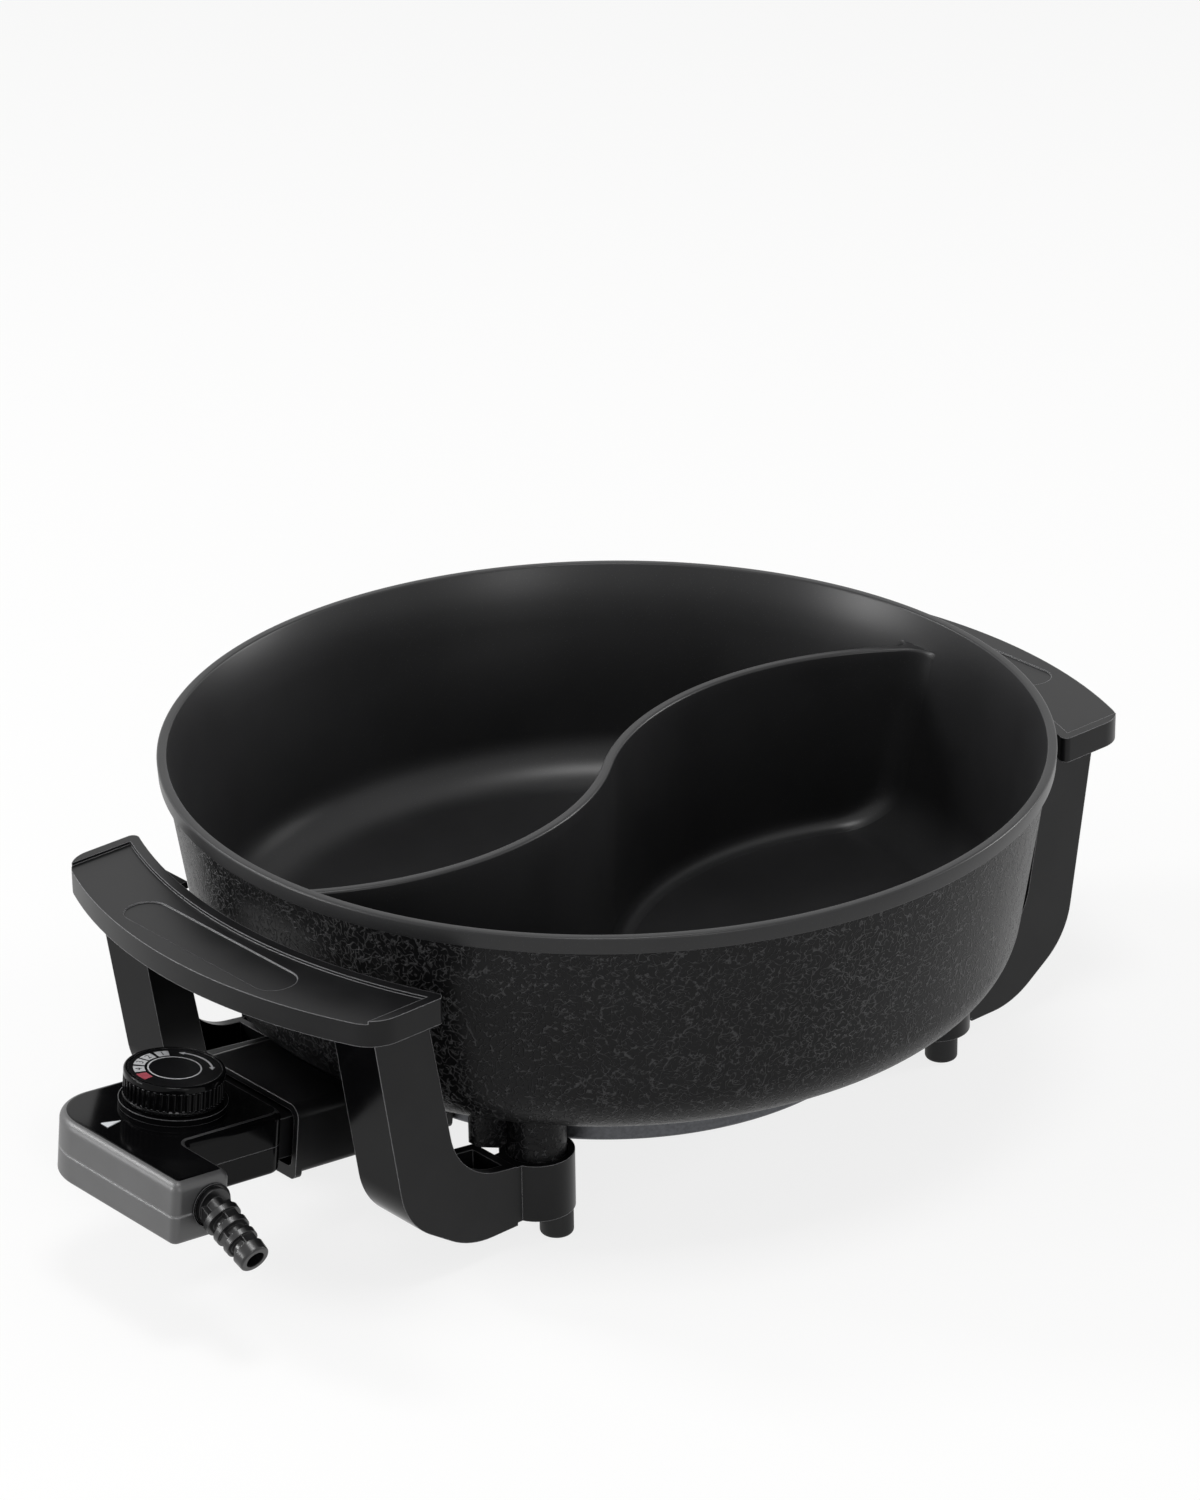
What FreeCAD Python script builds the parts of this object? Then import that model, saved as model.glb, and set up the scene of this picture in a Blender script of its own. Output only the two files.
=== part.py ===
import FreeCAD, Part
import math
import os
import Sketcher

# Electric hot pot with two compartments, a plug-in thermostat and two
# moulded handles that carry the feet.  Millimetres, +Z up.  The origin lies
# on the pot's axis, on the surface that the feet stand on.

Vector = FreeCAD.Vector
doc = FreeCAD.newDocument("hot_pot")
sheet = doc.addObject("Spreadsheet::Sheet", "sizes")

DRIVING = {
    # pan
    "rim_radius": 170.0,
    "rim_height": 142.0,
    "rim_width": 3.7,
    "band_height": 6.5,
    "band_inset": 0.4,
    "wall_step": 2.45,
    "wall_draft": 8.53,
    "wall_thickness": 3.4,
    "lead_depth": 14.0,
    "corner_radius": 25.6,
    "base_height": 50.0,
    "floor_thickness": 4.5,
    "edge_round": 0.8,
    "divider_drop": 12.0,
    "divider_inset": 10.0,
    "divider_bend": 125.8,
    "divider_thickness": 4.0,
    # cast posts and webs under the pan
    "post_inset": 67.5,
    "post_side": 74.5,
    "post_radius": 11.0,
    "web_side": 66.5,
    "web_thickness": 5.0,
    "web_length": 25.0,
    "web_root_drop": 15.0,
    "web_end_drop": 9.0,
    "boss_radius": 4.5,
    # heating element and its seat
    "ring_inset": 22.2,
    "tube_radius": 4.0,
    "tube_bend": 12.0,
    "seat_width": 14.0,
    "seat_gap": 36.0,
    # bottom cover
    "cover_inset": 62.8,
    "cover_height": 26.2,
    "cover_thickness": 1.0,
    "cover_window": 26.0,
    "cover_screw_ring": 55.0,
    # handles
    "grip_width": 34.0,
    "grip_half": 90.0,
    "grip_top": 119.6,
    "grip_depth": 9.0,
    "grip_inner_bend": 224.5,
    "grip_gap": 4.5,
    "grip_corner": 14.0,
    "grip_inner_corner": 2.5,
    "lip_width": 4.0,
    "lip_height": 1.2,
    "recess_half": 45.0,
    "recess_depth": 0.5,
    "leg_inside": 56.5,
    "leg_width": 24.0,
    "leg_wall": 4.0,
    "notch_depth": 7.8,
    "notch_round": 4.0,
    "leg_setback": 26.1,
    "leg_lean": 8.78,
    "knee_lean": 56.1,
    "knee_height": 28.6,
    "leg_bottom": 8.8,
    "leg_depth": 24.7,
    "leg_inner_lean": 10.1,
    "heel_slope": 8.25,
    "leg_end_gap": 14.9,
    "leg_end_top": 33.3,
    "knee_round": 30.0,
    "toe_round": 35.0,
    "heel_round": 27.0,
    "cup_radius": 14.0,
    "cup_wall": 2.5,
    "cup_bottom": 10.0,
    "cup_floor": 4.0,
    "cup_top": 33.0,
    # feet and their screws
    "foot_offset": 2.9,
    "foot_shift": 7.0,
    "foot_radius": 6.35,
    "foot_round": 1.5,
    "foot_recess": 5.5,
    "screw_radius": 2.0,
    "screw_head": 3.0,
    "head_depth": 2.2,
    "foot_screw_bite": 18.0,
    # small screws
    "small_screw": 1.7,
    "small_head": 3.2,
    "small_bite": 9.0,
    # controller frame: centre of the knob's top face
    "knob_gap": 39.7,
    "knob_height": 76.7,
    "controller_tilt": 6.28,
    # housing
    "top_drop": 14.5,
    "parting_drop": 27.5,
    "bottom_drop": 38.5,
    "block_back": 41.0,
    "block_front": 31.0,
    "block_half": 28.0,
    "arm_inside": 16.5,
    "arm_reach": 55.0,
    "back_round": 22.0,
    "front_round": 6.5,
    "arm_round": 3.0,
    "top_round": 3.4,
    "bottom_round": 2.0,
    "shell_wall": 2.2,
    "shell_face": 2.5,
    "column_radius": 2.8,
    "column_front": 14.0,
    "column_side": 22.4,
    "column_back": 35.8,
    "column_arm": 32.0,
    "case_screw": 1.2,
    "case_head": 2.2,
    # knob
    "knob_radius": 18.5,
    "knob_skirt": 11.7,
    "band_drop": 2.5,
    "flute_drop": 10.2,
    "flute_radius": 0.95,
    "flute_count": 48,
    "knob_hub": 6.0,
    "knob_cavity": 15.5,
    "plate_radius": 16.7,
    "plate_thickness": 0.6,
    "plate_recess": 0.9,
    "spindle_radius": 3.0,
    "spindle_bottom": 23.2,
    "bush_radius": 4.5,
    "bush_flange": 6.5,
    "nut_width": 6.5,
    "nut_height": 2.0,
    "bezel_radius": 20.0,
    "bezel_inside": 16.5,
    "bezel_height": 2.5,
    # pins, sockets and probe
    "pin_side": 19.0,
    "pin_drop": 27.5,
    "pin_radius": 2.35,
    "pin_start": 38.0,
    "pin_end": 66.0,
    "insulator_radius": 4.5,
    "insulator_start": 58.0,
    "socket_radius": 3.15,
    "socket_start": 18.0,
    "socket_mouth": 30.0,
    "nose_half": 23.5,
    "nose_top": 19.5,
    "nose_bottom": 35.5,
    "nose_end": 50.0,
    "flange_start": 22.0,
    "flange_half": 20.0,
    "probe_radius": 4.0,
    "probe_start": 14.0,
    "probe_seat": 2.4,
    "well_half": 7.0,
    "well_gap": 2.7,
    "well_length": 11.5,
    "well_bottom": 30.5,
    # thermostat
    "plate_gauge": 1.0,
    "bracket_back": 11.0,
    "bracket_half": 7.0,
    "bracket_bottom": 32.0,
    "strip_half": 3.0,
    "strip_gauge": 0.8,
    "strip_back": 8.0,
    "contact_drop": 29.6,
    # shroud round the terminals
    "shroud_mouth": 35.0,
    "shroud_overlap": 6.8,
    "shroud_half": 29.0,
    "shroud_top": 14.0,
    "shroud_bottom": 41.0,
    "shroud_wall": 2.5,
    "shroud_round": 5.0,
    "lip_length": 3.0,
    "lip_drop": 2.0,
    "bulkhead_start": 59.0,
    "bulkhead_thickness": 2.5,
    "ear_inset": 48.0,
    "ear_side": 38.0,
    "ear_radius": 6.0,
    "ear_thickness": 4.0,
    "ear_boss": 5.0,
    # cord exit
    "exit_back": 25.0,
    "exit_drop": 26.0,
    "exit_radius": 5.4,
    "collar_radius": 7.0,
    "exit_flange": 5.85,
    "collar_length": 2.5,
    "exit_droop": 23.0,
    "tail_radius": 7.2,
    "tail_end_radius": 5.8,
    "tail_length": 28.2,
    "tail_core": 4.5,
    "slot_start": 4.4,
    "slot_pitch": 5.8,
    "slot_width": 3.4,
    "slot_bridge": 5.0,
    "cord_radius": 3.6,
    "clamp_side": 43.0,
    "clamp_half": 8.0,
    "clamp_width": 6.0,
    "clamp_height": 3.0,
    "clamp_post": 5.0,
    "clamp_spread": 5.2,
    # pointer on the housing
    "pointer_tip": 24.7,
    "pointer_back": 32.0,
    "pointer_half": 2.05,
    "pointer_shift": 1.5,
    "pointer_height": 0.3,
    # clearances
    "running": 0.05,
    "air": 0.3,
}

DERIVED = {
    "divider_span": "rim_radius - divider_inset",
    "post_reach": "rim_radius - post_inset",
    "web_reach": "post_reach + web_length",
    "cover_radius": "rim_radius - cover_inset",
    "ring_radius": "cover_radius - ring_inset",
    "grip_inner_reach": "rim_radius + grip_gap",
    "grip_radius": "grip_inner_reach + grip_width",
    "leg_top_reach": "grip_radius - leg_setback",
    "leg_inner_reach": "leg_top_reach - leg_depth",
    "leg_end": "post_reach + leg_end_gap",
    "foot_reach": "post_reach - foot_offset",
    "foot_side": "post_side + foot_shift",
    "knob_reach": "rim_radius + knob_gap",
    "well_start": "cover_radius - well_gap",
    "well_end": "well_start - well_length",
    "probe_end": "(knob_reach + pin_drop * sin(controller_tilt) - well_end - probe_seat)"
                 " / cos(controller_tilt)",
    "shroud_end": "(knob_reach - cover_radius) / cos(controller_tilt) + shroud_overlap",
    "ear_reach": "rim_radius - ear_inset",
    "band_height_z": "rim_height - band_height",
    "wall_top_radius": "rim_radius - band_inset - wall_step",
    "outer_foot": "wall_top_radius - (band_height_z - base_height) * tan(wall_draft)",
    "wall_across": "wall_thickness / cos(wall_draft)",
    "floor_z": "base_height + floor_thickness",
    "lead_z": "rim_height - lead_depth",
    "inner_lead": "wall_top_radius - (band_height_z - lead_z) * tan(wall_draft) - wall_across",
    "inner_foot": "inner_lead - (lead_z - floor_z) * tan(wall_draft)",
    "inner_corner": "corner_radius - wall_thickness",
    "divider_top": "rim_height - divider_drop",
    "divider_half": "divider_thickness / 2",
    "divider_centre_x": "divider_span / 2",
    "divider_centre_y": "sqrt(divider_bend ^ 2 - divider_centre_x ^ 2)",
    "cup_floor_top": "cup_bottom + cup_floor",
    "post_bottom": "cup_floor_top + air",
    "element_z": "knob_height - pin_end * sin(controller_tilt) - pin_drop * cos(controller_tilt)",
    "element_end": "knob_reach - pin_end * cos(controller_tilt) + pin_drop * sin(controller_tilt)"
                   " - air - pin_radius * sin(controller_tilt)",
    "tube_groove": "tube_radius + air / 2",
    "tube_turn_x": "sqrt((ring_radius + tube_bend) ^ 2 - (pin_side + tube_bend) ^ 2)",
    "tube_join_x": "tube_turn_x * ring_radius / (ring_radius + tube_bend)",
    "tube_join_y": "(pin_side + tube_bend) * ring_radius / (ring_radius + tube_bend)",
    "cover_top": "base_height - air",
    "cover_floor_top": "cover_height + cover_thickness",
    "grip_bottom": "grip_top - grip_depth",
    "grip_centre": "grip_inner_reach - grip_inner_bend",
    "grip_outer_end": "sqrt(grip_radius ^ 2 - grip_half ^ 2)",
    "grip_inner_end": "grip_centre + sqrt(grip_inner_bend ^ 2 - grip_half ^ 2)",
    "leg_root": "grip_bottom + grip_depth / 3",
    "leg_root_reach": "leg_top_reach + (leg_root - grip_bottom) * tan(leg_lean)",
    "leg_root_inner": "leg_inner_reach + (leg_root - grip_bottom) * tan(leg_inner_lean)",
    "knee_x": "leg_top_reach - (grip_bottom - knee_height) * tan(leg_lean)",
    "toe_x": "knee_x - (knee_height - leg_bottom) * tan(knee_lean)",
    "heel_fall": "(grip_bottom - leg_end_top) * tan(leg_inner_lean)",
    "heel_x": "leg_end + (leg_inner_reach - heel_fall - leg_end)"
              " / (1 - tan(leg_inner_lean) * tan(heel_slope))",
    "heel_z": "leg_end_top + (heel_x - leg_end) * tan(heel_slope)",
    "notch_x": "leg_end + (leg_inner_reach + notch_depth - heel_fall - leg_end)"
               " / (1 - tan(leg_inner_lean) * tan(heel_slope))",
    "notch_z": "leg_end_top + (notch_x - leg_end) * tan(heel_slope)",
    "channel_root": "leg_top_reach - leg_wall / cos(leg_lean)",
    "knee_share": "leg_wall / (1 + cos(knee_lean - leg_lean))",
    "channel_knee_x": "knee_x - knee_share * (cos(leg_lean) + cos(knee_lean))",
    "channel_knee_z": "knee_height + knee_share * (sin(leg_lean) + sin(knee_lean))",
    "channel_toe_x": "toe_x - leg_wall * cos(knee_lean) / (1 + sin(knee_lean))",
    "channel_floor": "leg_bottom + leg_wall",
    "channel_end": "leg_end + leg_wall",
    "screw_seat": "foot_recess",
    "foot_screw_top": "cup_floor_top + foot_screw_bite",
    "ear_top": "base_height - ear_boss",
    "ear_bottom": "ear_top - ear_thickness",
    "column_bottom": "bottom_drop - shell_face",
    "column_top": "top_drop + shell_face",
    "bulkhead_end": "bulkhead_start + bulkhead_thickness",
    "bush_top": "top_drop - nut_height",
    "flange_top": "top_drop + shell_face",
    "flange_bottom": "flange_top + plate_gauge * 2",
    "bracket_front": "probe_start",
    "strip_drop": "spindle_bottom + air",
    "exit_end_wall": "arm_reach - shell_wall",
    "arm_middle": "(block_back + arm_inside) / 2",
}


def fill_sheet():
    row = 1
    for alias, value in DRIVING.items():
        sheet.set("A%d" % row, alias)
        sheet.set("B%d" % row, str(value))
        sheet.setAlias("B%d" % row, alias)
        row += 1
    for alias, formula in DERIVED.items():
        sheet.set("A%d" % row, alias)
        sheet.set("B%d" % row, "=" + formula)
        sheet.setAlias("B%d" % row, alias)
        row += 1
    doc.recompute()


fill_sheet()


def bound(text):
    """An expression with sizes. put before each alias."""
    words = []
    word = ""
    for letter in str(text) + " ":
        if letter.isalnum() or letter in "_.":
            word += letter
            continue
        if word in DRIVING or word in DERIVED:
            word = "sizes." + word
        words.append(word + letter)
        word = ""
    return "".join(words).strip()


def number(text):
    return float(sheet.evalExpression(bound(text)))


def make_body(label, tilted=False, turn=0):
    body = doc.addObject("PartDesign::Body", label)
    body.Label = label
    if tilted:
        body.Placement = FreeCAD.Placement(Vector(-1, 0, 1), FreeCAD.Rotation(Vector(0, 1, 0), 1))
        body.setExpression("Placement.Base.x", "-sizes.knob_reach")
        body.setExpression("Placement.Base.z", "sizes.knob_height")
        body.setExpression("Placement.Rotation.Angle", "sizes.controller_tilt")
    elif turn:
        body.Placement = FreeCAD.Placement(Vector(), FreeCAD.Rotation(Vector(0, 0, 1), turn))
    return body


def origin_plane(body, role):
    return [item for item in body.Origin.OriginFeatures if item.Role == role][0]


def start_sketch(body, name, role, level="0"):
    sketch = body.newObject("Sketcher::SketchObject", name)
    sketch.AttachmentSupport = [(origin_plane(body, role), "")]
    sketch.MapMode = "FlatFace"
    sketch.setExpression("AttachmentOffset.Base.z", bound(level))
    return sketch


def place_point(sketch, geometry, end, x, y):
    across = sketch.addConstraint(
        Sketcher.Constraint("DistanceX", -1, 1, geometry, end, number(x)))
    sketch.setExpression("Constraints[%d]" % across, bound(x))
    up = sketch.addConstraint(
        Sketcher.Constraint("DistanceY", -1, 1, geometry, end, number(y)))
    sketch.setExpression("Constraints[%d]" % up, bound(y))


def set_radius(sketch, geometry, radius):
    index = sketch.addConstraint(Sketcher.Constraint("Radius", geometry, number(radius)))
    sketch.setExpression("Constraints[%d]" % index, bound(radius))


def circle(sketch, x, y, radius):
    shape = Part.Circle(Vector(number(x), number(y), 0), Vector(0, 0, 1), number(radius))
    index = sketch.addGeometry(shape)
    place_point(sketch, index, 3, x, y)
    set_radius(sketch, index, radius)


def outline(sketch, corners):
    """A closed polygon; a corner (x, y, r) with a radius is rounded."""
    count = len(corners)
    spots = [Vector(number(corner[0]), number(corner[1]), 0) for corner in corners]
    starts = list(spots)
    ends = list(spots)
    arcs = {}
    for index, corner in enumerate(corners):
        if len(corner) < 3:
            continue
        here = spots[index]
        back = (spots[index - 1] - here).normalize()
        ahead = (spots[(index + 1) % count] - here).normalize()
        half = back.getAngle(ahead) / 2
        radius = number(corner[2])
        ends[index] = here + back * (radius / math.tan(half))
        starts[index] = here + ahead * (radius / math.tan(half))
        middle = (back + ahead).normalize()
        centre = here + middle * (radius / math.sin(half))
        arcs[index] = Part.Arc(ends[index], centre - middle * radius, starts[index])
    lines = []
    for index in range(count):
        following = (index + 1) % count
        lines.append(sketch.addGeometry(Part.LineSegment(starts[index], ends[following])))
    for index, corner in enumerate(corners):
        arriving = lines[index - 1]
        leaving = lines[index]
        if index not in arcs:
            sketch.addConstraint(Sketcher.Constraint("Coincident", arriving, 2, leaving, 1))
            place_point(sketch, leaving, 1, corner[0], corner[1])
            continue
        arc = sketch.addGeometry(arcs[index])
        first, last = (1, 2)
        if (sketch.getPoint(arc, 1) - ends[index]).Length > (
                sketch.getPoint(arc, 2) - ends[index]).Length:
            first, last = (2, 1)
        sketch.addConstraint(Sketcher.Constraint("Tangent", arriving, 2, arc, first))
        sketch.addConstraint(Sketcher.Constraint("Tangent", leaving, 1, arc, last))
        set_radius(sketch, arc, corner[2])
        apex = sketch.addGeometry(Part.Point(spots[index]), True)
        place_point(sketch, apex, 1, corner[0], corner[1])
        sketch.addConstraint(Sketcher.Constraint("PointOnObject", apex, 1, arriving))
        sketch.addConstraint(Sketcher.Constraint("PointOnObject", apex, 1, leaving))


def box_corners(left, right, low, high):
    return [(left, low), (right, low), (right, high), (left, high)]


def add_feature(body, kind, name, sketch):
    feature = body.newObject("PartDesign::" + kind, name)
    feature.Profile = sketch
    return feature


def checked(body, feature, before, grows):
    doc.recompute()
    after = feature.Shape.Volume
    if grows and after <= before:
        raise RuntimeError("%s adds nothing to %s" % (feature.Name, body.Label))
    if not grows and after >= before:
        raise RuntimeError("%s cuts nothing from %s" % (feature.Name, body.Label))
    return feature


def volume(body):
    if body.Tip is None or body.Shape.isNull():
        return 0.0
    return body.Shape.Volume


def pad(body, name, sketch, length, flip=False):
    before = volume(body)
    feature = add_feature(body, "Pad", name, sketch)
    feature.setExpression("Length", bound(length))
    feature.Reversed = flip
    return checked(body, feature, before, True)


def pocket(body, name, sketch, length, flip=False):
    before = volume(body)
    feature = add_feature(body, "Pocket", name, sketch)
    feature.setExpression("Length", bound(length))
    feature.Reversed = flip
    return checked(body, feature, before, False)


def turn(body, name, sketch, axis="V_Axis", cut=False):
    before = volume(body)
    feature = add_feature(body, "Groove" if cut else "Revolution", name, sketch)
    feature.ReferenceAxis = (sketch, [axis])
    feature.Angle = 360
    return checked(body, feature, before, not cut)


def repeat(body, name, feature, axis_sketch, count):
    pattern = body.newObject("PartDesign::PolarPattern", name)
    pattern.Originals = [feature]
    pattern.Axis = (axis_sketch, ["N_Axis"])
    pattern.Angle = 360
    pattern.setExpression("Occurrences", bound(count))
    body.Tip = pattern
    doc.recompute()
    return pattern


def round_edges(body, name, radius, wanted):
    """Rounds the edges of the body's last shape that wanted() picks."""
    base = body.Tip
    chosen = []
    for index, edge in enumerate(base.Shape.Edges):
        if wanted(edge):
            chosen.append("Edge%d" % (index + 1))
    if not chosen:
        raise RuntimeError("%s finds no edge on %s" % (name, body.Label))
    feature = body.newObject("PartDesign::Fillet", name)
    feature.Base = (base, chosen)
    feature.setExpression("Radius", bound(radius))
    doc.recompute()
    return feature


def lies_at(edge, axis, value):
    """True where the whole edge lies at one coordinate of the body's frame."""
    box = edge.BoundBox
    low = {"x": box.XMin, "y": box.YMin, "z": box.ZMin}[axis]
    high = {"x": box.XMax, "y": box.YMax, "z": box.ZMax}[axis]
    return abs(low - value) < 0.01 and abs(high - value) < 0.01


def rods(body, name, level, spots, radius, length, flip=False, role="XY_Plane"):
    """Round rods standing on one plane: a sketch of circles and a pad."""
    sketch = start_sketch(body, name + "_plan", role, level)
    for x, y in spots:
        circle(sketch, x, y, radius)
    return pad(body, name, sketch, length, flip)


def holes(body, name, level, spots, radius, length, flip=False, role="XY_Plane"):
    sketch = start_sketch(body, name + "_plan", role, level)
    for x, y in spots:
        circle(sketch, x, y, radius)
    return pocket(body, name, sketch, length, flip)


def four(x, y):
    return [(x, y), (x, "-" + y), ("-" + x, y), ("-" + x, "-" + y)]


PARTS = []


def finish(item):
    PARTS.append(item)
    return item


# ---- pot ----

def pot_body():
    body = make_body("pot_body")
    # the divider: an S of two arcs, cut back to the middle of the wall
    plan = start_sketch(body, "divider_plan", "XY_Plane", "base_height + edge_round")
    divider_outline(plan)
    half_wall = pad(body, "divider_half", plan, "divider_top - base_height - edge_round")
    repeat(body, "divider", half_wall, plan, "2")
    spare = start_sketch(body, "outside_section", "XZ_Plane")
    half = "wall_thickness / 2"
    outline(spare, [
        ("0", "base_height + " + half),
        ("outer_foot - " + half, "base_height + " + half, "corner_radius - " + half),
        ("wall_top_radius - " + half, "band_height_z"),
        ("wall_top_radius - " + half, "rim_height + band_height"),
        ("rim_radius + cup_radius", "rim_height + band_height"),
        ("rim_radius + cup_radius", "base_height - band_height"),
        ("0", "base_height - band_height"),
    ])
    turn(body, "divider_trim", spare, cut=True)
    section = start_sketch(body, "pan_section", "XZ_Plane")
    outline(section, [
        ("0", "base_height"),
        ("outer_foot", "base_height", "corner_radius"),
        ("wall_top_radius", "band_height_z"),
        ("rim_radius - band_inset", "band_height_z", "edge_round / 2"),
        ("rim_radius", "rim_height", "edge_round"),
        ("rim_radius - rim_width", "rim_height", "edge_round"),
        ("inner_lead", "lead_z"),
        ("inner_foot", "floor_z", "inner_corner"),
        ("0", "floor_z"),
    ])
    turn(body, "pan", section)
    # posts inside the cups of the handles, with the holes for their screws
    rods(body, "posts", "post_bottom", four("post_reach", "post_side"),
         "post_radius", "base_height + floor_thickness / 2 - post_bottom")
    webs = start_sketch(body, "web_plan", "XY_Plane", "base_height - web_root_drop")
    for x_sign in ("", "-"):
        for y_sign in ("", "-"):
            web_outline(webs, x_sign, y_sign)
    pad(body, "webs", webs, "web_root_drop + floor_thickness - edge_round / 2")
    for name, side in (("front", "-web_side"), ("back", "web_side")):
        level = "-(%s) + web_thickness" % side
        under = start_sketch(body, name + "_undercut_section", "XZ_Plane", level)
        for sign in ("", "-"):
            web_undercut(under, sign)
        pocket(body, name + "_undercut", under, "web_thickness * 2")
    # seat ring of the heating element, open towards the terminals
    ring = start_sketch(body, "seat_section", "XZ_Plane")
    outline(ring, box_corners("ring_radius - seat_width / 2", "ring_radius + seat_width / 2",
                              "element_z", "base_height + edge_round"))
    turn(body, "seat_ring", ring)
    groove = start_sketch(body, "seat_groove_section", "XZ_Plane")
    circle(groove, "ring_radius", "element_z", "tube_groove")
    turn(body, "seat_groove", groove, cut=True)
    gap = start_sketch(body, "seat_gap_plan", "XY_Plane", "base_height")
    outline(gap, box_corners("-ring_radius - seat_width", "-ring_radius + seat_width",
                             "-seat_gap", "seat_gap"))
    pocket(body, "seat_opening", gap, "base_height - element_z + tube_radius")
    # well for the tip of the probe
    well = start_sketch(body, "well_plan", "XY_Plane", "well_bottom")
    outline(well, box_corners("-well_start", "-well_end", "-well_half", "well_half"))
    pad(body, "probe_well", well, "base_height + edge_round - well_bottom")
    bore = start_sketch(body, "well_bore_plan", "YZ_Plane")
    bore.AttachmentOffset = FreeCAD.Placement(
        Vector(0, 1, -1), FreeCAD.Rotation(Vector(1, 0, 0), 1))
    bore.setExpression("AttachmentOffset.Base.y",
                       bound("knob_height - pin_drop * cos(controller_tilt)"
                             " - probe_start * sin(controller_tilt)"))
    bore.setExpression("AttachmentOffset.Base.z",
                       bound("-knob_reach - pin_drop * sin(controller_tilt)"
                             " + probe_start * cos(controller_tilt)"))
    bore.setExpression("AttachmentOffset.Rotation.Angle", bound("controller_tilt"))
    circle(bore, "0", "0", "probe_radius + running")
    pocket(body, "probe_bore", bore, "probe_end - probe_start + 1", flip=True)
    # bosses for the cover and the shroud
    rods(body, "cover_bosses", "cover_floor_top", cover_spots(), "boss_radius",
         "base_height + edge_round - cover_floor_top")
    rods(body, "shroud_bosses", "ear_top", ear_spots(), "ear_boss",
         "base_height + edge_round - ear_top")
    holes(body, "foot_screw_holes", "post_bottom", four("foot_reach", "foot_side"),
          "screw_radius + running", "foot_screw_top - post_bottom + 1", flip=True)
    holes(body, "cover_screw_holes", "cover_floor_top", cover_spots(),
          "small_screw + running", "small_bite + 1", flip=True)
    holes(body, "shroud_screw_holes", "ear_top", ear_spots(),
          "small_screw + running", "ear_boss + 1", flip=True)
    return finish(body)


def divider_outline(sketch):
    """One half of the S: two arcs about one centre, from the axis to past the rim."""
    centre = Vector(number("divider_centre_x"), -number("divider_centre_y"), 0)
    across = number("rim_radius") - centre.x
    first = math.atan2(-centre.y, -centre.x)
    arcs = []
    for radius in ("divider_bend + divider_half", "divider_bend - divider_half"):
        size = number(radius)
        last = math.acos(across / size)
        shape = Part.ArcOfCircle(Part.Circle(centre, Vector(0, 0, 1), size), last, first)
        arcs.append(sketch.addGeometry(shape))
        set_radius(sketch, arcs[-1], radius)
    outer, inner = arcs
    place_point(sketch, outer, 3, "divider_centre_x", "-divider_centre_y")
    sketch.addConstraint(Sketcher.Constraint("Coincident", inner, 3, outer, 3))
    spoke = sketch.addGeometry(Part.LineSegment(centre, Vector()), True)
    sketch.addConstraint(Sketcher.Constraint("Coincident", spoke, 1, outer, 3))
    sketch.addConstraint(Sketcher.Constraint("Coincident", spoke, 2, -1, 1))
    for end in (1, 2):
        line = sketch.addGeometry(Part.LineSegment(
            sketch.getPoint(outer, end), sketch.getPoint(inner, end)))
        sketch.addConstraint(Sketcher.Constraint("Coincident", line, 1, outer, end))
        sketch.addConstraint(Sketcher.Constraint("Coincident", line, 2, inner, end))
    for arc in arcs:
        sketch.addConstraint(Sketcher.Constraint("PointOnObject", arc, 2, spoke))
        index = sketch.addConstraint(
            Sketcher.Constraint("DistanceX", -1, 1, arc, 1, number("rim_radius")))
        sketch.setExpression("Constraints[%d]" % index, bound("rim_radius"))


def web_outline(sketch, x_sign, y_sign):
    """A strip from a post's middle outwards, with a round end."""
    near = y_sign + "(web_side - web_thickness / 2)"
    far = y_sign + "(web_side + web_thickness / 2)"
    outline(sketch, [
        (x_sign + "post_reach", near),
        (x_sign + "web_reach", near, "web_thickness * 0.49"),
        (x_sign + "web_reach", far, "web_thickness * 0.49"),
        (x_sign + "post_reach", far),
    ])


def web_undercut(sketch, sign):
    """What is taken off below a web: it rises outwards and its lower corner is round."""
    points = [
        ("post_reach + post_radius", "base_height - web_root_drop"),
        ("web_reach + edge_round", "base_height - web_end_drop", "web_thickness"),
        ("web_reach + edge_round", "base_height - edge_round"),
        ("web_reach + web_thickness", "base_height - edge_round"),
        ("web_reach + web_thickness", "base_height - web_root_drop - edge_round"),
        ("post_reach + post_radius", "base_height - web_root_drop - edge_round"),
    ]
    outline(sketch, [(sign + "(" + point[0] + ")",) + point[1:] for point in points])


def cover_spots():
    return [
        ("-cover_screw_ring", "0"),
        ("cover_screw_ring / 2", "cover_screw_ring * sqrt(3) / 2"),
        ("cover_screw_ring / 2", "-cover_screw_ring * sqrt(3) / 2"),
    ]


def ear_spots():
    return [("-ear_reach", "ear_side"), ("-ear_reach", "-ear_side")]


def screws(label, seat, spots, radius, head, head_depth, length, tilted=False):
    """Pan-head screws driven up: the heads hang below the seat."""
    body = make_body(label, tilted)
    rods(body, label + "_shanks", seat, spots, radius, length)
    rods(body, label + "_heads", seat, spots, head, head_depth, flip=True)
    return finish(body)


def heating_element():
    """A sheathed tube: a ring that stops short of the terminals, two bends, two legs."""
    body = make_body("heating_element")
    path = start_sketch(body, "element_path", "XY_Plane", "element_z")
    element_path(path)
    end = start_sketch(body, "element_section", "YZ_Plane", "-element_end")
    circle(end, "pin_side", "element_z", "tube_radius")
    doc.recompute()
    tube = add_feature(body, "AdditivePipe", "element_tube", end)
    tube.Spine = (path, ["Edge%d" % index for index in range(1, 6)])
    checked(body, tube, 0.0, True)
    return finish(body)


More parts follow.
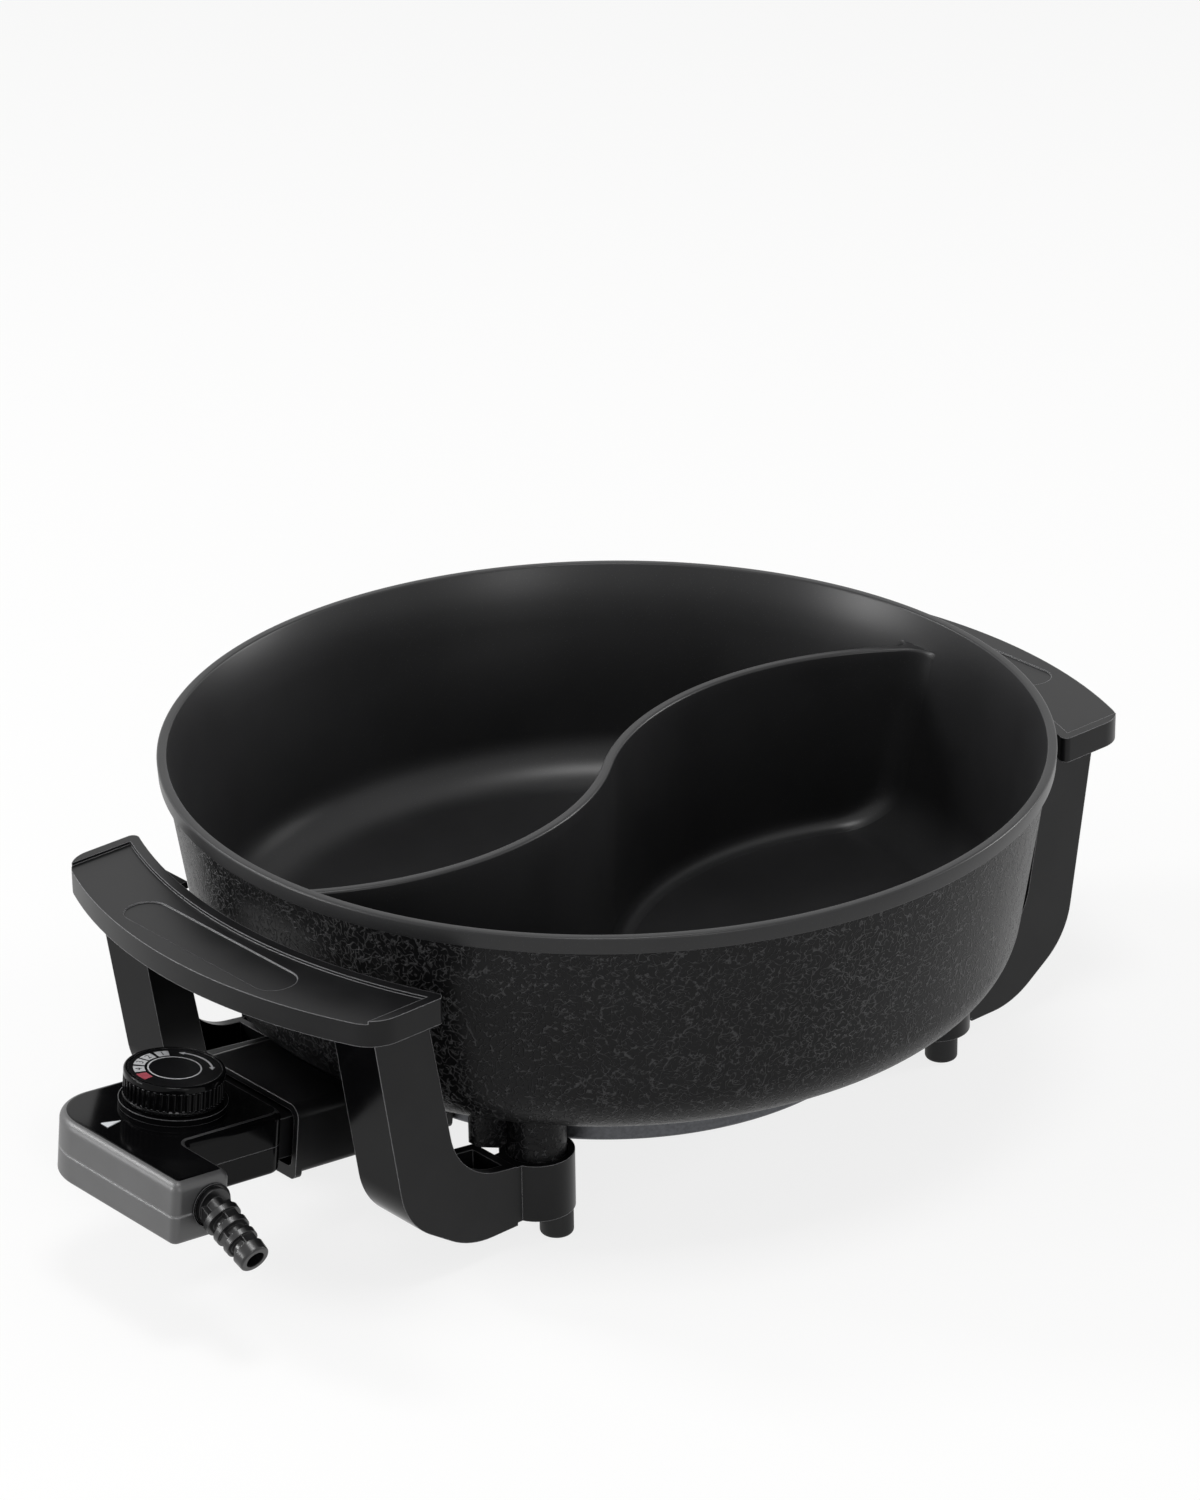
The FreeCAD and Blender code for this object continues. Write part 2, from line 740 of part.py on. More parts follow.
def element_path(sketch):
    side = number("pin_side")
    bend = number("tube_bend")
    ring = number("ring_radius")
    turn_x = number("tube_turn_x")
    join = Vector(-number("tube_join_x"), number("tube_join_y"), 0)
    far = Vector(-number("element_end"), side, 0)
    up = Vector(0, 0, 1)
    reach = math.atan2(join.y, -join.x)
    lean = math.atan2(-(side + bend), turn_x)
    bend_back = Part.Circle(Vector(-turn_x, side + bend, 0), up, bend)
    bend_front = Part.Circle(Vector(-turn_x, -side - bend, 0), up, bend)
    pieces = [
        Part.LineSegment(far, Vector(-turn_x, side, 0)),
        Part.ArcOfCircle(bend_back, -math.pi / 2, lean),
        Part.ArcOfCircle(Part.Circle(Vector(), up, ring), math.pi + reach, 3 * math.pi - reach),
        Part.ArcOfCircle(bend_front, -lean, math.pi / 2),
        Part.LineSegment(Vector(-turn_x, -side, 0), Vector(far.x, -side, 0)),
    ]
    back, back_bend, loop, front_bend, front = [sketch.addGeometry(piece) for piece in pieces]
    for one, one_end, two, two_end in ((back, 2, back_bend, 1), (back_bend, 2, loop, 2),
                                       (loop, 1, front_bend, 1), (front_bend, 2, front, 1)):
        sketch.addConstraint(Sketcher.Constraint("Tangent", one, one_end, two, two_end))
    sketch.addConstraint(Sketcher.Constraint("Coincident", loop, 3, -1, 1))
    set_radius(sketch, loop, "ring_radius")
    set_radius(sketch, back_bend, "tube_bend")
    set_radius(sketch, front_bend, "tube_bend")
    place_point(sketch, back, 1, "-element_end", "pin_side")
    place_point(sketch, front, 2, "-element_end", "-pin_side")
    for line in (back, front):
        sketch.addConstraint(Sketcher.Constraint("Horizontal", line))


def bottom_cover():
    body = make_body("bottom_cover")
    section = start_sketch(body, "cover_section", "XZ_Plane")
    outline(section, [
        ("0", "cover_height"),
        ("cover_radius", "cover_height", "cover_thickness * 2"),
        ("cover_radius", "cover_top"),
        ("cover_radius - cover_thickness", "cover_top"),
        ("cover_radius - cover_thickness", "cover_floor_top", "cover_thickness"),
        ("0", "cover_floor_top"),
    ])
    turn(body, "cover_dish", section)
    window = start_sketch(body, "window_section", "YZ_Plane", "-cover_radius - cover_thickness")
    outline(window, box_corners("-cover_window", "cover_window",
                                "cover_floor_top + cover_thickness", "base_height"))
    pocket(body, "terminal_window", window, "cover_radius / 4", flip=True)
    holes(body, "cover_holes", "cover_height", cover_spots(),
          "small_screw + running", "cover_thickness * 2", flip=True)
    return finish(body)


# ---- handles: a grip on two hollow legs, each with a cup that takes a cast post ----

def handle(label, turned):
    body = make_body(label, turn=turned)
    grip(body)
    for name, side in (("left", 1), ("right", -1)):
        leg(body, name, side)
    holes(body, "cups", "cup_floor_top", [("post_reach", "post_side"),
                                          ("post_reach", "-post_side")],
          "cup_radius - cup_wall", "cup_top - cup_floor_top + cup_floor", flip=True)
    holes(body, "screw_holes", "cup_bottom", [("foot_reach", "foot_side"),
                                              ("foot_reach", "-foot_side")],
          "screw_radius + running", "cup_floor + cup_wall", flip=True)
    return finish(body)


def grip_plan(sketch, inset="0"):
    """Outer arc about the pot's axis, inner arc about the grip's own centre."""
    half = "grip_half - (%s)" % inset
    outer = "grip_radius - (%s)" % inset
    inner = "grip_inner_bend + (%s)" % inset
    half_size = number(half)
    up = Vector(0, 0, 1)
    centre = Vector(number("grip_centre"), 0, 0)
    arcs = []
    for middle, radius in ((Vector(), outer), (centre, inner)):
        size = number(radius)
        reach = math.asin(half_size / size)
        arcs.append(sketch.addGeometry(
            Part.ArcOfCircle(Part.Circle(middle, up, size), -reach, reach)))
        set_radius(sketch, arcs[-1], radius)
    place_point(sketch, arcs[0], 3, "0", "0")
    place_point(sketch, arcs[1], 3, "grip_centre", "0")
    for end, level in ((1, "-(%s)" % half), (2, half)):
        line = sketch.addGeometry(Part.LineSegment(
            sketch.getPoint(arcs[0], end), sketch.getPoint(arcs[1], end)))
        sketch.addConstraint(Sketcher.Constraint("Coincident", line, 1, arcs[0], end))
        sketch.addConstraint(Sketcher.Constraint("Coincident", line, 2, arcs[1], end))
        for arc in arcs:
            index = sketch.addConstraint(
                Sketcher.Constraint("DistanceY", -1, 1, arc, end, number(level)))
            sketch.setExpression("Constraints[%d]" % index, bound(level))


def grip(body):
    plan = start_sketch(body, "grip_plan", "XY_Plane", "grip_bottom")
    grip_plan(plan)
    pad(body, "grip", plan, "grip_depth + lip_height")
    middle = (number("grip_outer_end") + number("grip_inner_end")) / 2
    round_edges(body, "outer_corners", "grip_corner",
                lambda edge: edge.BoundBox.ZLength > 5 and edge.BoundBox.XMin > middle)
    round_edges(body, "inner_corners", "grip_inner_corner",
                lambda edge: edge.BoundBox.ZLength > 5 and edge.BoundBox.XMax < middle
                and abs(edge.CenterOfMass.y) > number("grip_half") - 0.1)
    # the top is let in behind a lip along the inner edge and the ends
    panel = start_sketch(body, "panel_plan", "XY_Plane", "grip_top")
    panel_plan(panel)
    pocket(body, "panel", panel, "lip_height * 2", flip=True)
    recess = start_sketch(body, "recess_plan", "XY_Plane", "grip_top - recess_depth")
    corners = box_corners("grip_inner_reach + grip_width / 4",
                          "grip_inner_reach + grip_width * 3 / 4", "-recess_half", "recess_half")
    outline(recess, [corner + ("grip_width / 4 - recess_depth",) for corner in corners])
    pocket(body, "recess", recess, "recess_depth * 2", flip=True)


def panel_plan(sketch):
    """The sunk top: the grip's inner arc and ends moved in, open past the outer arc."""
    size = number("grip_inner_bend") + number("lip_width")
    half_size = number("grip_half") - number("lip_width")
    beyond = number("grip_radius") + number("lip_width")
    centre = Vector(number("grip_centre"), 0, 0)
    reach = math.asin(half_size / size)
    arc = sketch.addGeometry(
        Part.ArcOfCircle(Part.Circle(centre, Vector(0, 0, 1), size), -reach, reach))
    set_radius(sketch, arc, "grip_inner_bend + lip_width")
    place_point(sketch, arc, 3, "grip_centre", "0")
    corners = []
    for end, sign in ((1, "-"), (2, "")):
        level = sign + "(grip_half - lip_width)"
        start = sketch.getPoint(arc, end)
        corner = Vector(beyond, number(level), 0)
        line = sketch.addGeometry(Part.LineSegment(start, corner))
        sketch.addConstraint(Sketcher.Constraint("Coincident", line, 1, arc, end))
        place_point(sketch, line, 2, "grip_radius + lip_width", level)
        index = sketch.addConstraint(
            Sketcher.Constraint("DistanceY", -1, 1, arc, end, number(level)))
        sketch.setExpression("Constraints[%d]" % index, bound(level))
        corners.append((line, corner))
    closing = sketch.addGeometry(Part.LineSegment(corners[0][1], corners[1][1]))
    sketch.addConstraint(Sketcher.Constraint("Coincident", closing, 1, corners[0][0], 2))
    sketch.addConstraint(Sketcher.Constraint("Coincident", closing, 2, corners[1][0], 2))


def leg(body, name, side):
    """A J with a channel in it that is open towards the pot."""
    start = "-leg_inside - leg_width" if side > 0 else "leg_inside"
    hollow = "-leg_inside - leg_wall" if side > 0 else "leg_inside + leg_width - leg_wall"
    shape = start_sketch(body, name + "_leg_section", "XZ_Plane", start)
    outline(shape, [
        ("leg_root_reach", "leg_root"),
        ("leg_root_inner", "leg_root"),
        ("heel_x", "heel_z", "heel_round"),
        ("leg_end", "leg_end_top"),
        ("leg_end", "leg_bottom"),
        ("toe_x", "leg_bottom", "toe_round"),
        ("knee_x", "knee_height", "knee_round"),
    ])
    pad(body, name + "_leg", shape, "leg_width")
    post_side = "post_side" if side > 0 else "-post_side"
    rods(body, name + "_cup", "cup_bottom", [("post_reach", post_side)],
         "cup_radius", "cup_top - cup_bottom")
    bridge = start_sketch(body, name + "_bridge_plan", "XY_Plane", "cup_bottom")
    near = "post_side - cup_radius / 2" if side > 0 else "-leg_inside - leg_width"
    far = "leg_inside + leg_width" if side > 0 else "-post_side + cup_radius / 2"
    outline(bridge, box_corners("post_reach", "leg_end + leg_wall", near, far))
    pad(body, name + "_bridge", bridge, "cup_top - cup_bottom")
    channel = start_sketch(body, name + "_channel_section", "XZ_Plane", hollow)
    outline(channel, [
        ("channel_root", "grip_bottom"),
        ("leg_inner_reach - leg_width", "grip_bottom"),
        ("heel_x - leg_width", "leg_end_top + leg_wall"),
        ("channel_end", "leg_end_top + leg_wall"),
        ("channel_end", "channel_floor"),
        ("channel_toe_x", "channel_floor", "toe_round - leg_wall"),
        ("channel_knee_x", "channel_knee_z", "knee_round - leg_wall"),
    ])
    pocket(body, name + "_channel", channel, "leg_width - leg_wall * 2")
    # the wall on the inner side stands further back from the pot
    inside = "-leg_inside" if side > 0 else "leg_inside + leg_wall"
    notch = start_sketch(body, name + "_notch_section", "XZ_Plane", inside)
    outline(notch, [
        ("leg_inner_reach + notch_depth", "grip_bottom"),
        ("leg_end", "grip_bottom"),
        ("leg_end", "leg_end_top"),
        ("notch_x", "notch_z", "notch_round"),
    ])
    pocket(body, name + "_notch", notch, "leg_wall")


def rubber_feet():
    body = make_body("rubber_feet")
    spots = four("foot_reach", "foot_side")
    rods(body, "pins", "0", spots, "foot_radius", "cup_bottom")
    round_edges(body, "soft_edges", "foot_round", lambda edge: lies_at(edge, "z", 0))
    holes(body, "recesses", "0", spots, "screw_head + air", "foot_recess", flip=True)
    holes(body, "screw_holes", "foot_recess", spots, "screw_radius + running",
          "cup_bottom", flip=True)
    return finish(body)


# ---- shroud round the terminals ----

def terminal_shroud():
    blank = make_body("shroud_blank", tilted=True)
    tube = start_sketch(blank, "shroud_section", "YZ_Plane", "shroud_mouth")
    outline(tube, shroud_corners("0"))
    pad(blank, "shroud_tube", tube, "shroud_end - shroud_mouth")
    lip = start_sketch(blank, "lip_section", "YZ_Plane", "shroud_mouth")
    outline(lip, [
        ("-shroud_half", "-shroud_bottom - lip_drop", "shroud_wall"),
        ("shroud_half", "-shroud_bottom - lip_drop", "shroud_wall"),
        ("shroud_half", "-shroud_top - shroud_round * 2"),
        ("-shroud_half", "-shroud_top - shroud_round * 2"),
    ])
    pad(blank, "shroud_lip", lip, "lip_length")
    mouth = start_sketch(blank, "mouth_section", "YZ_Plane", "shroud_mouth")
    outline(mouth, shroud_corners("shroud_wall"))
    pocket(blank, "mouth", mouth, "bulkhead_start - shroud_mouth", flip=True)
    duct = start_sketch(blank, "duct_section", "YZ_Plane", "bulkhead_end")
    outline(duct, shroud_corners("shroud_wall"))
    pocket(blank, "duct", duct, "shroud_end - bulkhead_end + shroud_wall", flip=True)
    holes(blank, "insulator_holes", "bulkhead_start - shroud_wall",
          [("pin_side", "-pin_drop"), ("-pin_side", "-pin_drop")],
          "insulator_radius + running", "bulkhead_thickness * 3", flip=True, role="YZ_Plane")
    holes(blank, "probe_hole", "bulkhead_start - shroud_wall", [("0", "-pin_drop")],
          "probe_radius + air", "bulkhead_thickness * 3", flip=True, role="YZ_Plane")
    ears = make_body("shroud_ears")
    plates = start_sketch(ears, "ear_plan", "XY_Plane", "ear_bottom")
    for sign in ("", "-"):
        inside = sign + "(shroud_half - shroud_wall / 2)"
        outside = sign + "(ear_side + ear_radius)"
        outline(plates, [
            ("-ear_reach - ear_radius", inside),
            ("-ear_reach + ear_radius", inside),
            ("-ear_reach + ear_radius", outside, "ear_radius - air"),
            ("-ear_reach - ear_radius", outside, "ear_radius - air"),
        ])
    pad(ears, "ears", plates, "ear_thickness")
    holes(ears, "ear_holes", "ear_bottom", ear_spots(), "small_screw + running",
          "ear_thickness * 2", flip=True)
    # what the shroud must clear: the pan's outside and the cover
    pan = make_body("pan_clearance")
    section = start_sketch(pan, "clearance_section", "XZ_Plane")
    outline(section, [
        ("0", "0"),
        ("cover_radius + air", "0"),
        ("cover_radius + air", "base_height - air"),
        ("outer_foot + air", "base_height - air", "corner_radius"),
        ("outer_foot + air + (leg_root - base_height) * tan(wall_draft)", "leg_root - air"),
        ("0", "leg_root"),
    ])
    turn(pan, "clearance", section)
    joined = doc.addObject("Part::MultiFuse", "shroud_joined")
    joined.Shapes = [blank, ears]
    shroud = doc.addObject("Part::Cut", "terminal_shroud")
    shroud.Label = "terminal_shroud"
    shroud.Base = joined
    shroud.Tool = pan
    doc.recompute()
    return finish(shroud)


def shroud_corners(inset):
    half = "(shroud_half - %s)" % inset
    top = "-shroud_top - %s" % inset
    bottom = "-shroud_bottom + %s" % inset
    return [
        ("-" + half, bottom, "shroud_wall"),
        (half, bottom, "shroud_wall"),
        (half, top, "shroud_round - %s / 2" % inset),
        ("-" + half, top, "shroud_round - %s / 2" % inset),
    ]


def terminal_pins():
    body = make_body("terminal_pins", tilted=True)
    rods(body, "pins", "pin_start", [("pin_side", "-pin_drop"), ("-pin_side", "-pin_drop")],
         "pin_radius", "pin_end - pin_start", role="YZ_Plane")
    round_edges(body, "pin_noses", "pin_radius / 2",
                lambda edge: lies_at(edge, "x", number("pin_start")))
    return finish(body)


def terminal_insulators():
    body = make_body("terminal_insulators", tilted=True)
    spots = [("pin_side", "-pin_drop"), ("-pin_side", "-pin_drop")]
    rods(body, "beads", "insulator_start", spots, "insulator_radius",
         "pin_end - insulator_start - 1", role="YZ_Plane")
    holes(body, "bead_bores", "insulator_start", spots, "pin_radius + running",
          "pin_end - insulator_start", flip=True, role="YZ_Plane")
    return finish(body)


# ---- controller, in its own tilted frame: +X runs in under the pot ----

def housing_plan(sketch, inset="0"):
    """The block under the knob with an arm along its back for the cord."""
    front = "block_front - %s" % inset
    back = "-block_back + %s" % inset
    half = "block_half - %s" % inset
    arm = "-arm_inside - %s" % inset
    end = "-arm_reach + %s" % inset
    outline(sketch, [
        (front, "-(%s)" % half, "front_round - %s" % inset),
        (front, half, "front_round - %s" % inset),
        (back, half, "back_round - %s" % inset),
        (back, end, "arm_round - %s" % inset),
        (arm, end, "arm_round - %s" % inset),
        (arm, "-(%s)" % half, "arm_round + %s" % inset),
    ])


def column_spots():
    return [
        ("column_front", "column_side"),
        ("column_front", "-column_side"),
        ("-column_back", "0"),
        ("-column_back", "-column_arm"),
    ]


def nose_opening(body, low, high):
    cut = start_sketch(body, "nose_section", "YZ_Plane", "block_front + shell_wall")
    outline(cut, box_corners("-nose_half - running", "nose_half + running", low, high))
    pocket(body, "nose_opening", cut, "shell_wall * 3 + front_round / 2")


def exit_hole(body):
    holes(body, "cord_exit", "arm_reach + shell_wall", [("-exit_back", "-exit_drop")],
          "exit_radius + running", "shell_wall * 3", role="XZ_Plane")


def upper_housing():
    body = make_body("upper_housing", tilted=True)
    plan = start_sketch(body, "plan", "XY_Plane", "-parting_drop")
    housing_plan(plan)
    pad(body, "block", plan, "parting_drop - top_drop")
    round_edges(body, "top_round", "top_round",
                lambda edge: lies_at(edge, "z", -number("top_drop")))
    inside = start_sketch(body, "inside_plan", "XY_Plane", "-parting_drop")
    housing_plan(inside, "shell_wall")
    pocket(body, "inside", inside, "parting_drop - column_top", flip=True)
    rods(body, "columns", "-parting_drop", column_spots(), "column_radius",
         "parting_drop - top_drop - shell_face / 2")
    holes(body, "screw_holes", "-parting_drop", column_spots(), "case_screw + running",
          "small_bite", flip=True)
    holes(body, "bush_hole", "-column_top - shell_face", [("0", "0")],
          "bush_radius + running", "shell_face * 3", flip=True)
    nose_opening(body, "-parting_drop - shell_wall", "-nose_top + running")
    exit_hole(body)
    return finish(body)


def lower_housing():
    body = make_body("lower_housing", tilted=True)
    plan = start_sketch(body, "plan", "XY_Plane", "-bottom_drop")
    housing_plan(plan)
    pad(body, "tray", plan, "bottom_drop - parting_drop")
    round_edges(body, "bottom_round", "bottom_round",
                lambda edge: lies_at(edge, "z", -number("bottom_drop")))
    inside = start_sketch(body, "inside_plan", "XY_Plane", "-column_bottom")
    housing_plan(inside, "shell_wall")
    pocket(body, "inside", inside, "column_bottom - parting_drop", flip=True)
    rods(body, "columns", "-column_bottom - shell_face / 2", column_spots(), "column_radius",
         "column_bottom + shell_face / 2 - parting_drop")
    rods(body, "clamp_posts", "-column_bottom - shell_face / 2", clamp_spots(),
         "column_radius - shell_face / 5", "clamp_post + shell_face / 2")
    holes(body, "screw_holes", "-bottom_drop", column_spots(), "case_screw + running",
          "bottom_drop - parting_drop + 1", flip=True)
    holes(body, "head_recesses", "-bottom_drop", column_spots(), "case_head + air",
          "shell_face", flip=True)
    holes(body, "clamp_screw_holes", "-column_bottom + clamp_post", clamp_spots(),
          "case_screw + running", "clamp_post - air")
    nose_opening(body, "-nose_bottom - running", "-parting_drop + shell_wall")
    exit_hole(body)
    return finish(body)


def clamp_spots():
    return [
        ("-arm_middle - clamp_spread", "-clamp_side"),
        ("-arm_middle + clamp_spread", "-clamp_side"),
    ]


def housing_screws():
    return screws("housing_screws", "-bottom_drop + shell_face", column_spots(), "case_screw",
                  "case_head", "shell_face - air",
                  "bottom_drop - shell_face - parting_drop + small_bite - 1", tilted=True)


def knob():
    body = make_body("knob", tilted=True)
    section = start_sketch(body, "knob_section", "XZ_Plane")
    outline(section, [
        ("0", "-plate_recess"),
        ("plate_radius + air", "-plate_recess"),
        ("plate_radius + air", "0"),
        ("knob_radius", "0", "edge_round"),
        ("knob_radius", "-flute_drop"),
        ("knob_radius - edge_round", "-flute_drop"),
        ("knob_radius - edge_round", "-knob_skirt"),
        ("knob_cavity", "-knob_skirt"),
        ("knob_cavity", "-band_drop - edge_round"),
        ("knob_hub", "-band_drop - edge_round"),
        ("knob_hub", "-knob_skirt"),
        ("spindle_radius + running / 2", "-knob_skirt"),
        ("spindle_radius + running / 2", "-band_drop - air"),
        ("0", "-band_drop - air"),
    ])
    turn(body, "knob_body", section)
    flute = start_sketch(body, "flute_plan", "XY_Plane", "-band_drop")
    circle(flute, "knob_radius + flute_radius / 2", "0", "flute_radius")
    first = pocket(body, "flute", flute, "flute_drop - band_drop - edge_round / 4")
    repeat(body, "flutes", first, flute, "flute_count")
    return finish(body)


def plain_disc(label, level, radius, length, bore=None):
    body = make_body(label, tilted=True)
    rods(body, label + "_disc", level, [("0", "0")], radius, length)
    if bore is not None:
        holes(body, label + "_bore", level, [("0", "0")], bore, length, flip=True)
    return finish(body)


def spindle_bush():
    body = make_body("spindle_bush", tilted=True)
    rods(body, "barrel", "-flange_bottom - plate_gauge - air", [("0", "0")], "bush_radius",
         "flange_bottom + plate_gauge + air - bush_top")
    rods(body, "flange", "-flange_bottom", [("0", "0")], "bush_flange",
         "flange_bottom - flange_top")
    holes(body, "bore", "-bracket_bottom", [("0", "0")], "spindle_radius + running",
          "bracket_bottom", flip=True)
    return finish(body)


def bush_nut():
    body = make_body("bush_nut", tilted=True)
    plan = start_sketch(body, "nut_plan", "XY_Plane", "-top_drop")
    width = "nut_width"
    slant = "nut_width / sqrt(3)"
    outline(plan, [
        (width, "-" + slant), (width, slant), ("0", "2 * " + slant),
        ("-" + width, slant), ("-" + width, "-" + slant), ("0", "-2 * " + slant),
    ])
    pad(body, "hexagon", plan, "nut_height")
    holes(body, "thread", "-top_drop", [("0", "0")], "bush_radius + running",
          "nut_height", flip=True)
    return finish(body)


def pointer_mark():
    body = make_body("pointer_mark", tilted=True)
    plan = start_sketch(body, "pointer_plan", "XY_Plane", "-top_drop")
    outline(plan, [
        ("-pointer_tip", "-pointer_shift"),
        ("-pointer_back", "pointer_half - pointer_shift"),
        ("-pointer_back", "-pointer_half - pointer_shift"),
    ])
    pad(body, "pointer", plan, "pointer_height")
    return finish(body)


def probe_tube():
    body = make_body("probe_tube", tilted=True)
    rods(body, "probe", "probe_start", [("0", "-pin_drop")], "probe_radius",
         "probe_end - probe_start", role="YZ_Plane")
    round_edges(body, "probe_tip", "probe_radius / 2",
                lambda edge: lies_at(edge, "x", number("probe_end")))
    return finish(body)


def socket_carrier():
    body = make_body("socket_carrier", tilted=True)
    nose = start_sketch(body, "nose_section", "YZ_Plane", "flange_start")
    outline(nose, box_corners("-nose_half", "nose_half", "-nose_bottom", "-nose_top"))
    pad(body, "nose", nose, "nose_end - flange_start")
    flange = start_sketch(body, "flange_section", "YZ_Plane", "flange_start")
    outline(flange, box_corners("-flange_half", "flange_half", "-nose_bottom",
                                "-column_top - air"))
    pad(body, "flange", flange, "block_front - shell_wall - air - flange_start")
    holes(body, "socket_bores", "flange_start", socket_spots(), "socket_radius + running / 2",
          "nose_end - flange_start", flip=True, role="YZ_Plane")
    holes(body, "probe_bore", "flange_start", [("0", "-pin_drop")], "probe_radius + running / 2",
          "nose_end - flange_start", flip=True, role="YZ_Plane")
    return finish(body)


def socket_spots():
    return [("pin_side", "-pin_drop"), ("-pin_side", "-pin_drop")]


def socket_contacts():
    body = make_body("socket_contacts", tilted=True)
    rods(body, "sleeves", "socket_start", socket_spots(), "socket_radius",
         "nose_end - 1 - socket_start", role="YZ_Plane")
    holes(body, "sleeve_bores", "socket_mouth", socket_spots(), "pin_radius + running",
          "nose_end - socket_mouth", flip=True, role="YZ_Plane")
    return finish(body)


def thermostat_bracket():
    body = make_body("thermostat_bracket", tilted=True)
    section = start_sketch(body, "bracket_section", "XZ_Plane", "-bracket_half")
    outline(section, [
        ("-bracket_back", "-flange_bottom - plate_gauge"),
        ("bracket_front - plate_gauge", "-flange_bottom - plate_gauge"),
        ("bracket_front - plate_gauge", "-bracket_bottom"),
        ("bracket_front", "-bracket_bottom"),
        ("bracket_front", "-flange_bottom"),
        ("-bracket_back", "-flange_bottom"),
    ])
    pad(body, "angle", section, "bracket_half * 2")
    holes(body, "bush_hole", "-bracket_bottom", [("0", "0")], "bush_radius + running",
          "bracket_bottom - flange_bottom + 1", flip=True)
    return finish(body)


def strip(label, top):
    body = make_body(label, tilted=True)
    plan = start_sketch(body, label + "_plan", "XY_Plane", "-(%s) - strip_gauge" % top)
    outline(plan, box_corners("-strip_back", "bracket_front - plate_gauge",
                              "-strip_half", "strip_half"))
    pad(body, label + "_strip", plan, "strip_gauge")
    return finish(body)


def cord_clamp():
    body = make_body("cord_clamp", tilted=True)
    plan = start_sketch(body, "clamp_plan", "XY_Plane", "-column_bottom + clamp_post")
    outline(plan, box_corners("-arm_middle - clamp_half", "-arm_middle + clamp_half",
                              "-clamp_side - clamp_width / 2", "-clamp_side + clamp_width / 2"))
    pad(body, "bar", plan, "clamp_height")
    holes(body, "bar_holes", "-column_bottom + clamp_post", clamp_spots(),
          "case_screw + running", "clamp_height", flip=True)
    return finish(body)


def clamp_screws():
    body = make_body("clamp_screws", tilted=True)
    seat = "-column_bottom + clamp_post + clamp_height"
    rods(body, "shanks", seat, clamp_spots(), "case_screw",
         "clamp_height + clamp_post - air * 2", flip=True)
    rods(body, "heads", seat, clamp_spots(), "case_head", "case_head / 2")
    return finish(body)


def tail_sketch(body, name, across="0"):
    """A sketch along the drooping tail: x runs down its axis, across is sideways."""
    sketch = start_sketch(body, name, "YZ_Plane", "-exit_back - (%s)" % across)
    sketch.AttachmentOffset = FreeCAD.Placement(
        Vector(-1, -1, -1), FreeCAD.Rotation(Vector(0, 0, 1), 200))
    sketch.setExpression("AttachmentOffset.Base.x", "-sizes.arm_reach")
    sketch.setExpression("AttachmentOffset.Base.y", "-sizes.exit_drop")
    sketch.setExpression("AttachmentOffset.Rotation.Angle", "180 + sizes.exit_droop")
    return sketch


def strain_relief():
    """A flange and neck in the end wall, and a slotted tail that droops."""
    body = make_body("strain_relief", tilted=True)
    spot = [("-exit_back", "-exit_drop")]
    rods(body, "flange", "exit_end_wall - shell_wall", spot, "exit_flange",
         "shell_wall - running", role="XZ_Plane")
    rods(body, "neck", "exit_end_wall - shell_wall", spot, "exit_radius",
         "shell_wall * 2 + collar_length", role="XZ_Plane")
    rods(body, "collar", "arm_reach", spot, "collar_radius", "collar_length", role="XZ_Plane")
    tail = tail_sketch(body, "tail_section")
    outline(tail, [
        ("0", "0"),
        ("tail_length", "0"),
        ("tail_length", "tail_end_radius", "edge_round"),
        ("slot_start + slot_width / 2", "tail_radius"),
        ("slot_start + slot_width / 2", "tail_core"),
        ("0", "tail_core"),
    ])
    turn(body, "tail", tail, axis="H_Axis")
    for index, name in enumerate(("first", "second", "third", "fourth")):
        middle = "slot_start + slot_pitch * %d" % index
        if index > 0:
            tail_slot(body, name, middle)
        tail_bridge(body, name, middle, sideways=index % 2 == 0)
    bore = tail_sketch(body, "bore_section")
    outline(bore, box_corners("0", "tail_length + 1", "0", "cord_radius"))
    turn(body, "cord_bore", bore, axis="H_Axis", cut=True)
    holes(body, "neck_bore", "exit_end_wall - shell_wall * 2", spot, "cord_radius",
          "shell_wall * 3 + collar_length / 2", flip=True, role="XZ_Plane")
    return finish(body)


def tail_slot(body, name, middle):
    slot = tail_sketch(body, name + "_slot_section")
    outline(slot, box_corners(middle + " - slot_width / 2", middle + " + slot_width / 2",
                              "tail_core", "tail_radius + edge_round"))
    turn(body, name + "_slot", slot, axis="H_Axis", cut=True)


def tail_bridge(body, name, middle, sideways):
    """Two ribs that cross a slot on opposite sides of the tail."""
    low = middle + " - slot_width * 0.8"
    high = middle + " + slot_width * 0.8"
    across = "slot_bridge / 2"
    along = ("tail_radius - (tail_radius - tail_end_radius) * (%s) / tail_length"
             " - edge_round" % middle)
    if sideways:
        across, along = along, across
    bridge = tail_sketch(body, name + "_bridge_section", across)
    outline(bridge, box_corners(low, high, "-(%s)" % along, along))
    pad(body, name + "_bridge", bridge, "(%s) * 2" % across)


def check_and_write():
    doc.recompute()
    for item in doc.Objects:
        if "Invalid" in item.State or "Error" in item.State:
            raise RuntimeError("%s has failed" % item.Name)
    os.makedirs("parts", exist_ok=True)
    for item in PARTS:
        shape = item.Shape
        if shape.isNull() or not shape.isValid():
            raise RuntimeError("%s has no valid shape" % item.Label)
        shape.exportStep("parts/%s.step" % item.Label)
        print("%-20s %2d solid(s) %12.1f mm3" % (item.Label, len(shape.Solids), shape.Volume))


